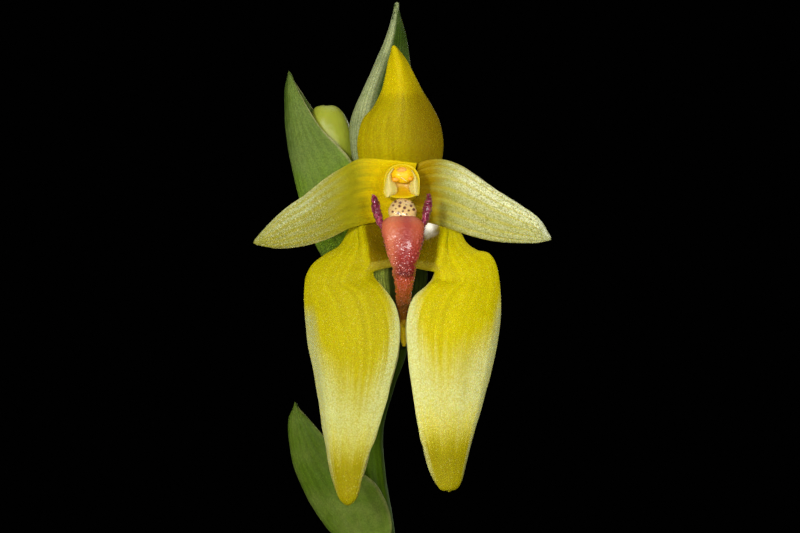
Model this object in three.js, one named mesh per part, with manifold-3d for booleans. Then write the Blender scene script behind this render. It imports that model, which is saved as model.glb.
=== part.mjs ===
// A flowering Bulbophyllum orchid in a round clay pot of bark mix, at its real size in millimetres.
// +Z is up, +X is to the right of the open flower and the flower faces -Y.
// The origin is the middle of the pot's foot, on the surface that the pot stands on.

import * as THREE from "three";
import Module from "manifold-3d";
import { mergeVertices } from "three/addons/utils/BufferGeometryUtils.js";

const wasm = await Module();
wasm.setup();

// Driving dimensions
const clearance = 0.3;
const potHeight = 104;
const potRimRadius = 70;
const potRimDepth = 24;
const potFootRadius = 48;
const potWall = 7;
const potHoleRadius = 5;
const potHoleCircle = 27;
const potHoleCount = 5;
const mixLevel = 88;
const mixDome = 3;
const barkChipCount = 34;
const rhizomeRadius = 3;
const bulbRadius = 9;
const bulbRidges = 6;
const leafThickness = 1.3;
const sheathThickness = 0.7;
const bractThickness = 0.75;
const sepalThickness = 0.95;
const petalThickness = 0.75;
const flowerHeight = 372;
const viewingDistance = 430;
const eyeLevel = -10;

// Colours and finishes
const finishes = {
  clay: { color: 0xb5694a, roughness: 0.85 },
  bark: { color: 0x5a3c26, roughness: 0.95 },
  rhizome: { color: 0x6d6a35, roughness: 0.75 },
  bulb: { color: 0x6f8f2f, roughness: 0.5 },
  leaf: { color: 0x3f6b24, roughness: 0.4 },
  stem: { color: 0x53700f, roughness: 0.5 },
  sheath: { color: 0xa09a62, roughness: 0.8 },
  bract: { color: 0x6e8f34, roughness: 0.55 },
  bud: { color: 0x8f9c2e, roughness: 0.5 },
  sepal: { color: 0xcabb0a, roughness: 0.5 },
  petal: { color: 0xc8c87c, roughness: 0.5 },
  column: { color: 0xe2c04a, roughness: 0.4 },
  anther: { color: 0xf4b631, roughness: 0.35 },
  lip: { color: 0xc9604c, roughness: 0.3 },
};

const vector = (x, y, z) => new THREE.Vector3(x, y, z);
const mix = THREE.MathUtils.lerp;

// A small seeded source of even random numbers from 0 to 1.
function seededRandom(seed) {
  let state = seed;
  return () => {
    state = (state * 1664525 + 1013904223) % 4294967296;
    return state / 4294967296;
  };
}

// The smooth curve through a list of points, read at a share from 0 to 1 of its stations.
function smoothCurve(points) {
  return new THREE.CatmullRomCurve3(points, false, "catmullrom", 0.5);
}

// The flower's outlines are sizes seen from straight in front, viewingDistance before its heart.
// A point that lies deeper is moved out along its line of sight, so that it looks the same size.
function seen([x, y, z]) {
  const spread = 1 + y / viewingDistance;
  return vector(x * spread, y, eyeLevel + (z - eyeLevel) * spread);
}

// A closed geometry from its points and triangles.
function closedGeometry(points, triangles) {
  const geometry = new THREE.BufferGeometry();
  const flat = points.flatMap((point) => [point.x, point.y, point.z]);
  geometry.setAttribute("position", new THREE.Float32BufferAttribute(flat, 3));
  geometry.setIndex(triangles.flat());
  return geometry;
}

// The solid of a closed geometry, its shared points merged.
function solidOf(geometry) {
  const bare = geometry.clone();
  bare.deleteAttribute("normal");
  bare.deleteAttribute("uv");
  const merged = mergeVertices(bare, 1e-4);
  return new wasm.Manifold(new wasm.Mesh({
    numProp: 3,
    vertProperties: Float32Array.from(merged.attributes.position.array),
    triVerts: Uint32Array.from(merged.index.array),
  }));
}

// The geometry of a solid.
function geometryOf(solid) {
  const mesh = solid.getMesh();
  const geometry = new THREE.BufferGeometry();
  geometry.setAttribute("position", new THREE.BufferAttribute(mesh.vertProperties, 3));
  geometry.setIndex(new THREE.BufferAttribute(mesh.triVerts, 1));
  return geometry;
}

// The largest body of a solid, without the scraps that a cut leaves.
function largestBody(solid) {
  const bodies = solid.decompose();
  return bodies.reduce((best, body) => (body.volume() > best.volume() ? body : best));
}

// Solids joined into one.
function joined(first, ...others) {
  return others.reduce((whole, other) => whole.add(other), first);
}

// A solid with others cut away from it.
function cutBy(solid, ...cutters) {
  return largestBody(cutters.reduce((rest, cutter) => rest.subtract(cutter), solid));
}

// The smooth surface over rows of points: every row and every column is a smooth curve.
function surfaceOver(rows, alongSteps, acrossSteps) {
  const curves = rows.map((row) => smoothCurve(row));
  const grid = [];
  for (let along = 0; along <= alongSteps; along += 1) {
    grid.push([]);
  }
  for (let across = 0; across <= acrossSteps; across += 1) {
    const column = smoothCurve(curves.map((curve) => curve.getPoint(across / acrossSteps)));
    for (let along = 0; along <= alongSteps; along += 1) {
      grid[along].push(column.getPoint(along / alongSteps));
    }
  }
  return grid;
}

// The unit normals of a grid of points.
function gridNormals(grid) {
  const last = grid.length - 1;
  return grid.map((row, along) => row.map((point, across) => {
    const end = row.length - 1;
    const sideways = row[Math.min(across + 1, end)].clone().sub(row[Math.max(across - 1, 0)]);
    const forwards = grid[Math.min(along + 1, last)][across].clone()
      .sub(grid[Math.max(along - 1, 0)][across]);
    return forwards.cross(sideways).normalize();
  }));
}

// A grid whose margins are moved out by a distance, for a cutter that leaves a gap round a blade.
function widened(grid, distance) {
  const last = grid.length - 1;
  const outwards = (from, to) => to.clone().sub(from).normalize().multiplyScalar(distance);
  const wide = grid.map((row) => row.map((point) => point.clone()));
  wide.forEach((row, along) => {
    const end = row.length - 1;
    row[0].add(outwards(grid[along][1], grid[along][0]));
    row[end].add(outwards(grid[along][end - 1], grid[along][end]));
  });
  wide[0].forEach((point, across) => point.add(outwards(grid[1][across], grid[0][across])));
  wide[last].forEach((point, across) => {
    point.add(outwards(grid[last - 1][across], grid[last][across]));
  });
  return wide;
}

// A solid blade of even thickness over a grid of points, split alike on both faces.
function bladeOver(grid, thickness, grow = 0) {
  const sheet = grow > 0 ? widened(grid, grow) : grid;
  const half = thickness / 2 + grow;
  const normals = gridNormals(sheet);
  const rows = sheet.length;
  const columns = sheet[0].length;
  const points = [];
  for (const side of [1, -1]) {
    sheet.forEach((row, along) => row.forEach((point, across) => {
      points.push(point.clone().addScaledVector(normals[along][across], side * half));
    }));
  }
  const front = (along, across) => along * columns + across;
  const back = (along, across) => rows * columns + front(along, across);
  const triangles = [];
  for (let along = 0; along < rows - 1; along += 1) {
    for (let across = 0; across < columns - 1; across += 1) {
      const corners = [[along, across], [along, across + 1], [along + 1, across + 1], [along + 1, across]];
      const [a, b, c, d] = corners.map((corner) => front(...corner));
      const [e, f, g, h] = corners.map((corner) => back(...corner));
      triangles.push([a, b, c], [a, c, d], [e, g, f], [e, h, g]);
    }
  }
  const rim = [];
  for (let across = 0; across < columns; across += 1) {
    rim.push([0, across]);
  }
  for (let along = 1; along < rows; along += 1) {
    rim.push([along, columns - 1]);
  }
  for (let across = columns - 2; across >= 0; across -= 1) {
    rim.push([rows - 1, across]);
  }
  for (let along = rows - 2; along > 0; along -= 1) {
    rim.push([along, 0]);
  }
  rim.forEach((corner, index) => {
    const next = rim[(index + 1) % rim.length];
    const [a, b] = [front(...corner), front(...next)];
    const [c, d] = [back(...corner), back(...next)];
    triangles.push([a, c, b], [b, c, d]);
  });
  return outward(closedGeometry(points, triangles));
}

// A closed body through rings of points, closed by a fan at each end.
function bodyThrough(rings) {
  const sides = rings[0].length;
  const points = rings.flat();
  const middle = (ring) => ring.reduce((sum, point) => sum.add(point), vector(0, 0, 0))
    .divideScalar(ring.length);
  const first = points.push(middle(rings[0])) - 1;
  const last = points.push(middle(rings[rings.length - 1])) - 1;
  const triangles = [];
  for (let side = 0; side < sides; side += 1) {
    const next = (side + 1) % sides;
    triangles.push([first, next, side]);
    const top = (rings.length - 1) * sides;
    triangles.push([last, top + side, top + next]);
    for (let ring = 0; ring < rings.length - 1; ring += 1) {
      const [a, b] = [ring * sides + side, ring * sides + next];
      triangles.push([a, b, b + sides], [a, b + sides, a + sides]);
    }
  }
  return outward(closedGeometry(points, triangles));
}

// The same geometry with its faces turned outwards.
function outward(geometry) {
  const position = geometry.attributes.position;
  const index = geometry.index.array;
  const corner = (place) => vector().fromBufferAttribute(position, index[place]);
  let volume = 0;
  for (let place = 0; place < index.length; place += 3) {
    volume += corner(place).dot(corner(place + 1).cross(corner(place + 2)));
  }
  if (volume < 0) {
    for (let place = 0; place < index.length; place += 3) {
      [index[place], index[place + 1]] = [index[place + 1], index[place]];
    }
  }
  return geometry;
}

// A round or oval body along a path: at each station a middle point, a half width and a half depth.
// The width lies along the given axis, as nearly as the path lets it, and the depth square to both.
function taperedBody(stations, sides, steps, grow = 0, widthAxis = vector(1, 0, 0)) {
  const path = smoothCurve(stations.map((station) => station.at));
  const sizes = smoothCurve(stations.map((station) => vector(station.width, station.depth, 0)));
  const rings = [];
  for (let step = 0; step <= steps; step += 1) {
    const share = step / steps;
    const middle = path.getPoint(share);
    const heading = path.getTangent(share);
    if (grow > 0 && (step === 0 || step === steps)) {
      middle.addScaledVector(heading, step === 0 ? -grow : grow);
    }
    const depthwise = heading.clone().cross(widthAxis).normalize();
    const widthwise = depthwise.clone().cross(heading).normalize();
    const size = sizes.getPoint(share);
    const ring = [];
    for (let side = 0; side < sides; side += 1) {
      const angle = (2 * Math.PI * side) / sides;
      ring.push(middle.clone()
        .addScaledVector(widthwise, Math.cos(angle) * (size.x + grow))
        .addScaledVector(depthwise, Math.sin(angle) * (size.y + grow)));
    }
    rings.push(ring);
  }
  return bodyThrough(rings);
}

// A round tapered body from a list of points and the radius at each.
function roundBody(points, radii, sides, steps, grow = 0, widthAxis = vector(1, 0, 0)) {
  const stations = points.map((at, index) => ({ at, width: radii[index], depth: radii[index] }));
  return taperedBody(stations, sides, steps, grow, widthAxis);
}

// An oval ball.
function ball(middle, radii, grow = 0) {
  const geometry = new THREE.SphereGeometry(1, 10, 8);
  geometry.scale(radii.x + grow, radii.y + grow, radii.z + grow);
  geometry.translate(middle.x, middle.y, middle.z);
  return solidOf(geometry);
}

// The named piece of the object with its finish.
function piece(name, shape, finish) {
  const geometry = shape.isBufferGeometry ? shape : geometryOf(shape);
  const material = new THREE.MeshStandardMaterial({ ...finishes[finish], metalness: 0 });
  material.name = finish;
  const mesh = new THREE.Mesh(geometry, material);
  mesh.name = name;
  return mesh;
}

// The radius of the pot's inner wall at a height, straight from floor to mouth.
function potInnerRadius(height) {
  const share = (height - potWall) / (potHeight - potWall);
  return mix(potFootRadius - potWall, potRimRadius - potWall, share);
}

// The clay pot: a tapered wall with a rim band, and round drain holes in a ring in its floor.
function makePot() {
  const bandBottom = potHeight - potRimDepth;
  const chamfer = 1.5;
  const wallTop = potInnerRadius(bandBottom) + potWall;
  const profile = [
    [0, 0],
    [potFootRadius - chamfer, 0],
    [potFootRadius, chamfer],
    [wallTop, bandBottom],
    [potRimRadius - chamfer, bandBottom + chamfer],
    [potRimRadius, potHeight - chamfer],
    [potRimRadius - chamfer, potHeight],
    [potInnerRadius(potHeight) + chamfer, potHeight],
    [potInnerRadius(potHeight), potHeight - chamfer],
    [potInnerRadius(potWall), potWall],
    [0, potWall],
  ].map(([radius, height]) => new THREE.Vector2(radius, height));
  const body = new THREE.LatheGeometry(profile, 40);
  body.rotateX(Math.PI / 2);
  const holes = [];
  for (let hole = 0; hole < potHoleCount; hole += 1) {
    const angle = (2 * Math.PI * hole) / potHoleCount;
    const cutter = new THREE.CylinderGeometry(potHoleRadius, potHoleRadius, 3 * potWall, 16);
    cutter.rotateX(Math.PI / 2);
    cutter.translate(potHoleCircle * Math.cos(angle), potHoleCircle * Math.sin(angle), potWall / 2);
    holes.push(solidOf(cutter));
  }
  return cutBy(solidOf(outward(mergeVertices(stripped(body), 1e-4))), ...holes);
}

// A copy of a geometry that keeps only its positions.
function stripped(geometry) {
  const bare = geometry.clone();
  bare.deleteAttribute("normal");
  bare.deleteAttribute("uv");
  return bare;
}

// One bark chip: a flat block with cut corners, turned and tilted.
function barkChip(random, middle) {
  const length = mix(12, 18, random());
  const width = mix(8, 13, random());
  const height = mix(6, 9, random());
  const geometry = new THREE.CylinderGeometry(0.42, 0.55, 1, 5);
  geometry.rotateX(Math.PI / 2);
  geometry.scale(length, width, height);
  const turn = new THREE.Euler(mix(-0.4, 0.4, random()), mix(-0.4, 0.4, random()), random() * 6.28);
  geometry.applyQuaternion(new THREE.Quaternion().setFromEuler(turn));
  geometry.translate(middle.x, middle.y, middle.z);
  return solidOf(geometry);
}

// The height of the mix's gently domed top at a distance from the middle of the pot.
function mixTop(distance) {
  return mixLevel + mixDome * (1 - (distance / potInnerRadius(mixLevel)) ** 2);
}

// The bark mix that fills the pot, with chips standing out of its top in even sunflower order.
function makeMix(cutters) {
  const floor = potWall + clearance;
  const profile = [[0, floor], [potInnerRadius(floor) - 2 * clearance, floor]];
  const edge = potInnerRadius(mixLevel) - clearance;
  profile.push([edge, mixLevel]);
  profile.push([edge * 0.7, mixTop(edge * 0.7)]);
  profile.push([edge * 0.35, mixTop(edge * 0.35)]);
  profile.push([0, mixTop(0)]);
  const body = new THREE.LatheGeometry(profile.map(([r, z]) => new THREE.Vector2(r, z)), 28);
  body.rotateX(Math.PI / 2);
  const random = seededRandom(7);
  const goldenAngle = Math.PI * (3 - Math.sqrt(5));
  const chips = [];
  for (let chip = 0; chip < barkChipCount; chip += 1) {
    const distance = (edge - 12) * Math.sqrt((chip + 0.5) / barkChipCount);
    const angle = chip * goldenAngle;
    const place = vector(distance * Math.cos(angle), distance * Math.sin(angle), mixTop(distance) - 0.8);
    chips.push(barkChip(random, place));
  }
  const whole = joined(solidOf(outward(mergeVertices(stripped(body), 1e-4))), ...chips);
  return cutBy(whole, ...cutters);
}

// The places of the pseudobulbs along the creeping rhizome, oldest first, with each leaf's stance.
// Heading is the compass angle of the leaf from +X, lean its first tilt and bend its further droop.
const growths = [
  { x: -45, y: -4, height: 29, heading: 187, lean: 24, bend: 52, length: 142, width: 19 },
  { x: -20, y: 10, height: 33, heading: 128, lean: 14, bend: 40, length: 158, width: 22 },
  { x: 3, y: -11, height: 34, heading: 243, lean: 20, bend: 44, length: 162, width: 23 },
  { x: 32, y: -2, height: 33, heading: 318, lean: 16, bend: 46, length: 166, width: 23 },
  { x: 43, y: 22, height: 27, heading: 42, lean: 22, bend: 34, length: 132, width: 18 },
];
const rhizomeLevel = mixLevel + mixDome + 1.5;
const scapeFoot = { x: 17.5, y: -7 };

// The creeping rhizome on the mix, with its roots running down into the mix.
function makeRhizome(grow = 0) {
  const ends = [
    vector(-56, -9, mixLevel + 2),
    ...growths.map(({ x, y }) => vector(x, y, rhizomeLevel)),
    vector(45, 35, rhizomeLevel),
  ];
  const radii = ends.map((end, index) => (index === 0 || index === ends.length - 1 ? 1.6 : rhizomeRadius));
  const stem = solidOf(roundBody(ends, radii, 8, 26, grow, vector(0, 0, 1)));
  const roots = [];
  growths.forEach(({ x, y }, index) => {
    for (const side of [-1, 1]) {
      const spread = 9 + 1.2 * index;
      const points = [
        vector(x, y + side, rhizomeLevel - 1),
        vector(x + 3 * side, y + side * spread * 0.6, mixLevel + 2),
        vector(x + 5 * side - x * 0.08, y + side * spread, mixLevel - 7),
      ];
      roots.push(solidOf(roundBody(points, [1.3, 1.1, 0.7], 5, 4, grow)));
    }
  });
  return joined(stem, ...roots);
}

// One pseudobulb: an egg-shaped cone with blunt ridges, drawn in at its foot and its top.
function makeBulb({ x, y, height }, grow = 0) {
  const profile = [[0, 0.62], [0.1, 0.92], [0.3, 1], [0.52, 0.86], [0.75, 0.6], [0.92, 0.38], [1, 0.32]];
  const sides = bulbRidges * 3;
  const foot = rhizomeLevel + rhizomeRadius - 2.2;
  const rings = profile.map(([share, width]) => {
    const ring = [];
    for (let side = 0; side < sides; side += 1) {
      const angle = (2 * Math.PI * side) / sides;
      const ridge = 1 + 0.09 * Math.cos(bulbRidges * angle) * Math.sin(Math.PI * Math.min(share + 0.1, 1));
      const radius = bulbRadius * (height / 34) * width * ridge + grow;
      const level = foot + share * height + grow * (2 * share - 1);
      ring.push(vector(x + radius * Math.cos(angle), y + radius * Math.sin(angle), level));
    }
    return ring;
  });
  return solidOf(bodyThrough(rings));
}

// One leathery leaf: a short stalk that widens into a channelled oblong blade with a blunt tip.
function makeLeaf({ x, y, height, heading, lean, bend, length, width }) {
  const stalkShare = 0.1;
  const stations = 15;
  const turn = THREE.MathUtils.degToRad(heading);
  const outwards = vector(Math.cos(turn), Math.sin(turn), 0);
  const sideways = vector(-Math.sin(turn), Math.cos(turn), 0);
  const middle = vector(x, y, rhizomeLevel + rhizomeRadius - 2.2 + height + 1.4 * clearance);
  const grid = [];
  for (let station = 0; station <= stations; station += 1) {
    const share = station / stations;
    const tilt = THREE.MathUtils.degToRad(lean * Math.min(share / stalkShare, 1) + bend * share * share);
    const along = outwards.clone().multiplyScalar(Math.sin(tilt)).add(vector(0, 0, Math.cos(tilt)));
    const upper = outwards.clone().multiplyScalar(-Math.cos(tilt)).add(vector(0, 0, Math.sin(tilt)));
    if (station > 0) {
      middle.addScaledVector(along, length / stations);
    }
    const blade = Math.max((share - stalkShare) / (1 - stalkShare), 0);
    const half = 1.9 + (width - 1.9) * Math.sin(Math.PI * blade ** 0.85) ** 0.75 * (1 - 0.02 * blade);
    const channel = mix(0.75, 0.26, Math.min(blade * 3, 1));
    const row = [];
    for (let across = -2; across <= 2; across += 1) {
      const side = across / 2;
      const lift = channel * half * (Math.abs(side) ** 1.4) - 0.12 * half * Math.abs(side) ** 4;
      row.push(middle.clone().addScaledVector(sideways, side * half).addScaledVector(upper, lift));
    }
    grid.push(row);
  }
  return bladeOver(grid, leafThickness);
}

// The flower stalk and its zigzag upper part, from the rhizome to the top bract.
// Heights in this list and in the rest of the flower's parts are counted from the flower's heart.
const stalkPath = [
  vector(scapeFoot.x, scapeFoot.y, rhizomeLevel + rhizomeRadius - 1.6 - flowerHeight),
  vector(17, -4, -245),
  vector(14, 1, -200),
  vector(9, 6, -150),
  vector(3, 10.5, -100),
  vector(-1.6, 12.6, -66),
  ...[
    [-2.8, 13, -50], [-4, 13, -41], [-4.4, 13, -34], [-2.4, 13, -27.5], [-0.5, 13, -21],
    [-1.6, 13.2, -16], [-3.4, 13, -11.5], [-2.8, 12.8, -5], [-2.4, 12.5, 0.6],
  ].map(seen),
];
const stalkRadii = [2.4, 2.3, 2.2, 2.2, 2.1, 2.1, 2.05, 1.85, 2, 1.7, 1.9, 1.55, 1.75, 1.35, 1.1];

// The stalk with the scar of the flower that has fallen from the lowest bract.
function makeStalk(grow = 0) {
  const stalk = solidOf(roundBody(stalkPath, stalkRadii, 8, 36, grow));
  const scar = [[-3.6, 12.8, -49], [-5.8, 12.6, -46.6], [-7, 12.4, -44.4]].map(seen);
  return joined(stalk, solidOf(roundBody(scar, [1.2, 0.95, 0.9], 6, 3, grow)));
}

// The dry sheaths round the lower stalk: where each starts and how long it is.
const sheaths = [
  { name: "stalk_sheath_low", start: -266, length: 30, facing: 200 },
  { name: "stalk_sheath_middle", start: -212, length: 27, facing: 20 },
  { name: "stalk_sheath_high", start: -150, length: 24, facing: 190 },
];

// A rolled sheath that fits round the stalk and runs up to a point on the side that it faces.
function makeSheath({ start, length, facing }) {
  const path = smoothCurve(stalkPath);
  const shareAt = (height) => {
    let low = 0;
    let high = 1;
    while (high - low > 1e-5) {
      const half = (low + high) / 2;
      [low, high] = path.getPoint(half).z < height ? [half, high] : [low, half];
    }
    return low;
  };
  const middleTurn = THREE.MathUtils.degToRad(facing);
  const grid = [];
  for (let step = 0; step <= 4; step += 1) {
    const rise = step / 4;
    const row = [];
    for (let across = -5; across <= 5; across += 1) {
      const side = across / 5;
      const angle = middleTurn + side * Math.PI * 0.9;
      const height = start + length * rise * (1 - 0.45 * Math.abs(side) ** 1.2);
      const middle = path.getPoint(shareAt(height));
      const radius = 2.45 + clearance + sheathThickness / 2 + 0.9 * rise ** 2;
      row.push(middle.add(vector(radius * Math.cos(angle), radius * Math.sin(angle), 0)));
    }
    grid.push(row);
  }
  return bladeOver(grid, sheathThickness);
}

// A boat-shaped bract from three rails, each from the foot to the tip: one margin, the keel and the
// other margin. The halves between margin and keel are pushed out by a share of their width.
function makeBract({ margin, keel, farMargin, belly, steps }, grow = 0) {
  const rows = keel.map((at, index) => {
    const [first, middle, second] = [margin[index], at, farMargin[index]].map(seen);
    const heart = first.clone().add(second).divideScalar(2);
    const outwards = middle.clone().sub(heart);
    const firstHalf = first.clone().lerp(middle, 0.5).addScaledVector(outwards, belly);
    const secondHalf = second.clone().lerp(middle, 0.5).addScaledVector(outwards, belly);
    return [first, firstHalf, middle, secondHalf, second];
  });
  return solidOf(bladeOver(surfaceOver(rows, steps, 6), bractThickness, grow));
}

// The bracts of the flower stalk, each clasping the stalk at its foot.
const bracts = {
  bract_lowest: {
    margin: [[-2.6, 10.3, -54], [-1.2, 9.6, -48.6], [-3.2, 8.2, -43.2], [-6.2, 8, -40.5],
      [-8.8, 8.2, -38], [-11.4, 8.6, -35.4], [-13.6, 9.2, -32.9], [-15.4, 9.9, -30.8]],
    keel: [[-5.8, 13, -55.5], [-8.2, 13, -51.6], [-10.9, 12.6, -48.8], [-13.6, 12.2, -44.8],
      [-15.9, 11.8, -40.3], [-16.8, 11.2, -36], [-16.7, 10.7, -32.8], [-16, 10.3, -30.6]],
    farMargin: [[-2.6, 15.7, -54], [-2, 16.6, -48.6], [-4.4, 17.2, -43.2], [-7, 17, -40.3],
      [-9.4, 16, -37.8], [-11.8, 14.6, -35.2], [-13.9, 12.8, -32.8], [-15.5, 11, -30.8]],
    belly: 0.28,
    steps: 12,
  },
  bract_open_flower: {
    margin: [[-3.3, 12.8, -21.5], [-3.9, 11.6, -17], [-4.5, 10.4, -13.5], [-4.5, 9.4, -10],
      [-2.8, 8.4, -6.8], [-0.8, 7.3, -4.6]],
    keel: [[-0.5, 10.2, -22.5], [-0.8, 8.4, -17], [-1.2, 7.2, -13.5], [-1.3, 6.6, -10],
      [-0.8, 6.5, -6.6], [-0.2, 6.8, -4.4]],
    farMargin: [[2.3, 12.8, -21.5], [2.9, 11.6, -17], [3.8, 10.6, -13.5], [4, 9.8, -10],
      [2.3, 8.6, -6.8], [0.4, 7.3, -4.6]],
    belly: 0.1,
    steps: 8,
  },
  bract_upper: {
    margin: [[-3.2, 10.3, -13], [-3.4, 9.2, -8], [-4.6, 8.4, -3], [-6, 7.8, 1.5], [-7.3, 7.4, 5.8],
      [-9.3, 7.4, 8.8], [-11.7, 7.8, 11.7], [-14, 8.6, 15.1], [-16.3, 9.5, 18.9]],
    keel: [[-6.2, 13, -14], [-9.4, 13, -10.9], [-12.1, 12.5, -7.2], [-13.7, 12, -3],
      [-15.2, 11.5, 2], [-16.5, 11, 7], [-17.3, 10.5, 12], [-17.2, 10, 16.5], [-16.9, 9.9, 19]],
    farMargin: [[-3.2, 15.7, -13], [-3.4, 16.6, -8], [-4.6, 17, -3], [-6, 17, 1.5],
      [-7.5, 16.4, 5.5], [-9.8, 15.4, 9.2], [-12.2, 14, 12.4], [-14.4, 12.4, 15.6], [-16.4, 10.6, 18.9]],
    belly: 0.22,
    steps: 13,
  },
  bract_top: {
    margin: [[-4.9, 13, -1.5], [-6.4, 12, 3.5], [-7.2, 11, 8], [-7.6, 10.4, 11.9], [-6, 10, 16.3],
      [-4.2, 9.8, 20.2], [-2.2, 9.4, 24.2], [-0.8, 8.8, 28.8]],
    keel: [[-2.8, 10.4, -2], [-4.6, 8.2, 3.5], [-5.3, 7.2, 8], [-5, 6.8, 12.3], [-3.9, 6.8, 16.8],
      [-2.4, 7.1, 21], [-1.2, 7.7, 25], [-0.5, 8.3, 29.3]],
    farMargin: [[-0.2, 13, -1.5], [0.9, 12.6, 3.5], [1.9, 12.2, 8], [2.3, 11.8, 12], [2.1, 11.5, 16.3],
      [1.7, 11, 20.2], [1.1, 10.4, 24.5], [0.1, 9.2, 28.8]],
    belly: 0.2,
    steps: 11,
  },
};

// The green buds in the axils of the upper bracts, each on its short stalk.
const buds = {
  bud_upper: {
    points: [[-4.9, 12.9, -9.4], [-6, 12.8, -4.4], [-7.5, 12.5, 1], [-9.1, 12.2, 6], [-10.5, 12, 10.4],
      [-11.5, 11.8, 13.2], [-11.9, 11.7, 14.4]],
    radii: [0.9, 1.2, 2.1, 2.9, 2.7, 1.5, 0.5],
  },
  bud_top: {
    points: [[-2.4, 12.45, 0.6], [-2.1, 12.2, 4.4], [-1.9, 11.8, 8], [-1.7, 11.5, 11.5],
      [-1.6, 11.3, 13.6]],
    radii: [0.8, 1.2, 1.9, 1.6, 0.5],
  },
};

// The stalk of the open flower with its ovary, from the stalk's node to the back of the flower.
function makeOvary(grow = 0) {
  const points = [[-0.4, 10.6, -19.4], [-0.2, 10.3, -14], [0, 9.9, -8.5], [0.2, 8.6, -3], [0.2, 6.6, 0.6],
    [0.2, 5.4, 1.6]];
  return solidOf(roundBody(points.map(seen), [0.8, 1.15, 1.3, 1.6, 1.9, 1.7], 8, 10, grow));
}

// A blade between two rails, each from its foot to its tip, pushed towards the front by a bulge.
function bladeBetween(first, second, bulges, steps, across) {
  return surfaceOver(first.map((at, index) => {
    const [start, end] = [seen(at), seen(second[index])];
    const forwards = vector(0, -bulges[index], 0);
    const between = [0.2, 0.5, 0.8].map((share) => {
      const height = 4 * share * (1 - share);
      return start.clone().lerp(end, share).addScaledVector(forwards, height);
    });
    return [start, ...between, end];
  }), steps, across);
}

// The upright back sepal: broad and square-shouldered, then drawn out into a long folded point.
function backSepalGrid() {
  const left = [[-1.8, 4.4, 2.6], [-5.5, 3.2, 4.8], [-6.36, 2.5, 7.5], [-6.2, 2.3, 9.9], [-5.5, 2, 12.1],
    [-4.2, 1.7, 13.9], [-3, 1.4, 16.1], [-2.4, 1.2, 18.3], [-1.85, 1, 20.8], [-1.2, 0.9, 23.2]];
  const right = [[1.8, 4.4, 2.6], [5.7, 3.2, 4.8], [6.6, 2.5, 7.5], [6.45, 2.3, 9.9], [6, 2, 12],
    [4.6, 1.7, 14.3], [3.25, 1.4, 16.3], [2.4, 1.2, 18.2], [1.1, 1, 20.6], [-0.5, 0.9, 23.3]];
  return bladeBetween(left, right, [0.4, 1, 1.3, 1.4, 1.5, 1.4, 1.1, 0.9, 0.6, 0.2], 13, 6);
}

// The petals: each wraps the column with its foot and spreads out and down to a narrow tip.
function petalGrid(side) {
  const rails = {
    left: {
      upper: [[-0.5, 2.2, 5.2], [-3.2, 0.6, 6.1], [-6, -0.2, 6.15], [-8.4, -0.8, 5], [-11, -1.4, 3.4],
        [-14.3, -2.4, 0.7], [-17.4, -3.4, -1.5], [-19.8, -4.4, -3.9], [-21.8, -5.2, -5.9]],
      lower: [[-1.9, 4, -2.4], [-3.6, 2.6, -3.2], [-5.6, 1.2, -3.7], [-8, 0.2, -4.4], [-10.6, -0.6, -5.7],
        [-13.6, -1.8, -6.6], [-16.6, -3, -7.1], [-19.2, -4.2, -7.1], [-21.6, -5.2, -6.8]],
    },
    right: {
      upper: [[1.1, 2.2, 5.2], [3.7, 0.6, 6.1], [6.4, -0.2, 6.05], [9, -0.8, 5.2], [11.6, -1.4, 3.6],
        [14.8, -2.4, 1.3], [18, -3.4, -0.7], [20.6, -4.4, -2.7], [22.5, -5.2, -5.4]],
      lower: [[2.4, 4, -2.4], [4.1, 2.6, -3.3], [6.2, 1.2, -3.9], [8.8, 0.2, -4.7], [11.4, -0.6, -5.5],
        [14.4, -1.8, -6.15], [17.6, -3, -6.4], [20.4, -4.2, -6.35], [22.4, -5.2, -6.2]],
    },
  }[side];
  const bulges = [-1.2, -0.8, 0.2, 0.8, 1, 1, 0.8, 0.5, 0.1];
  return bladeBetween(rails.upper, rails.lower, bulges, 12, 5);
}

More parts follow.
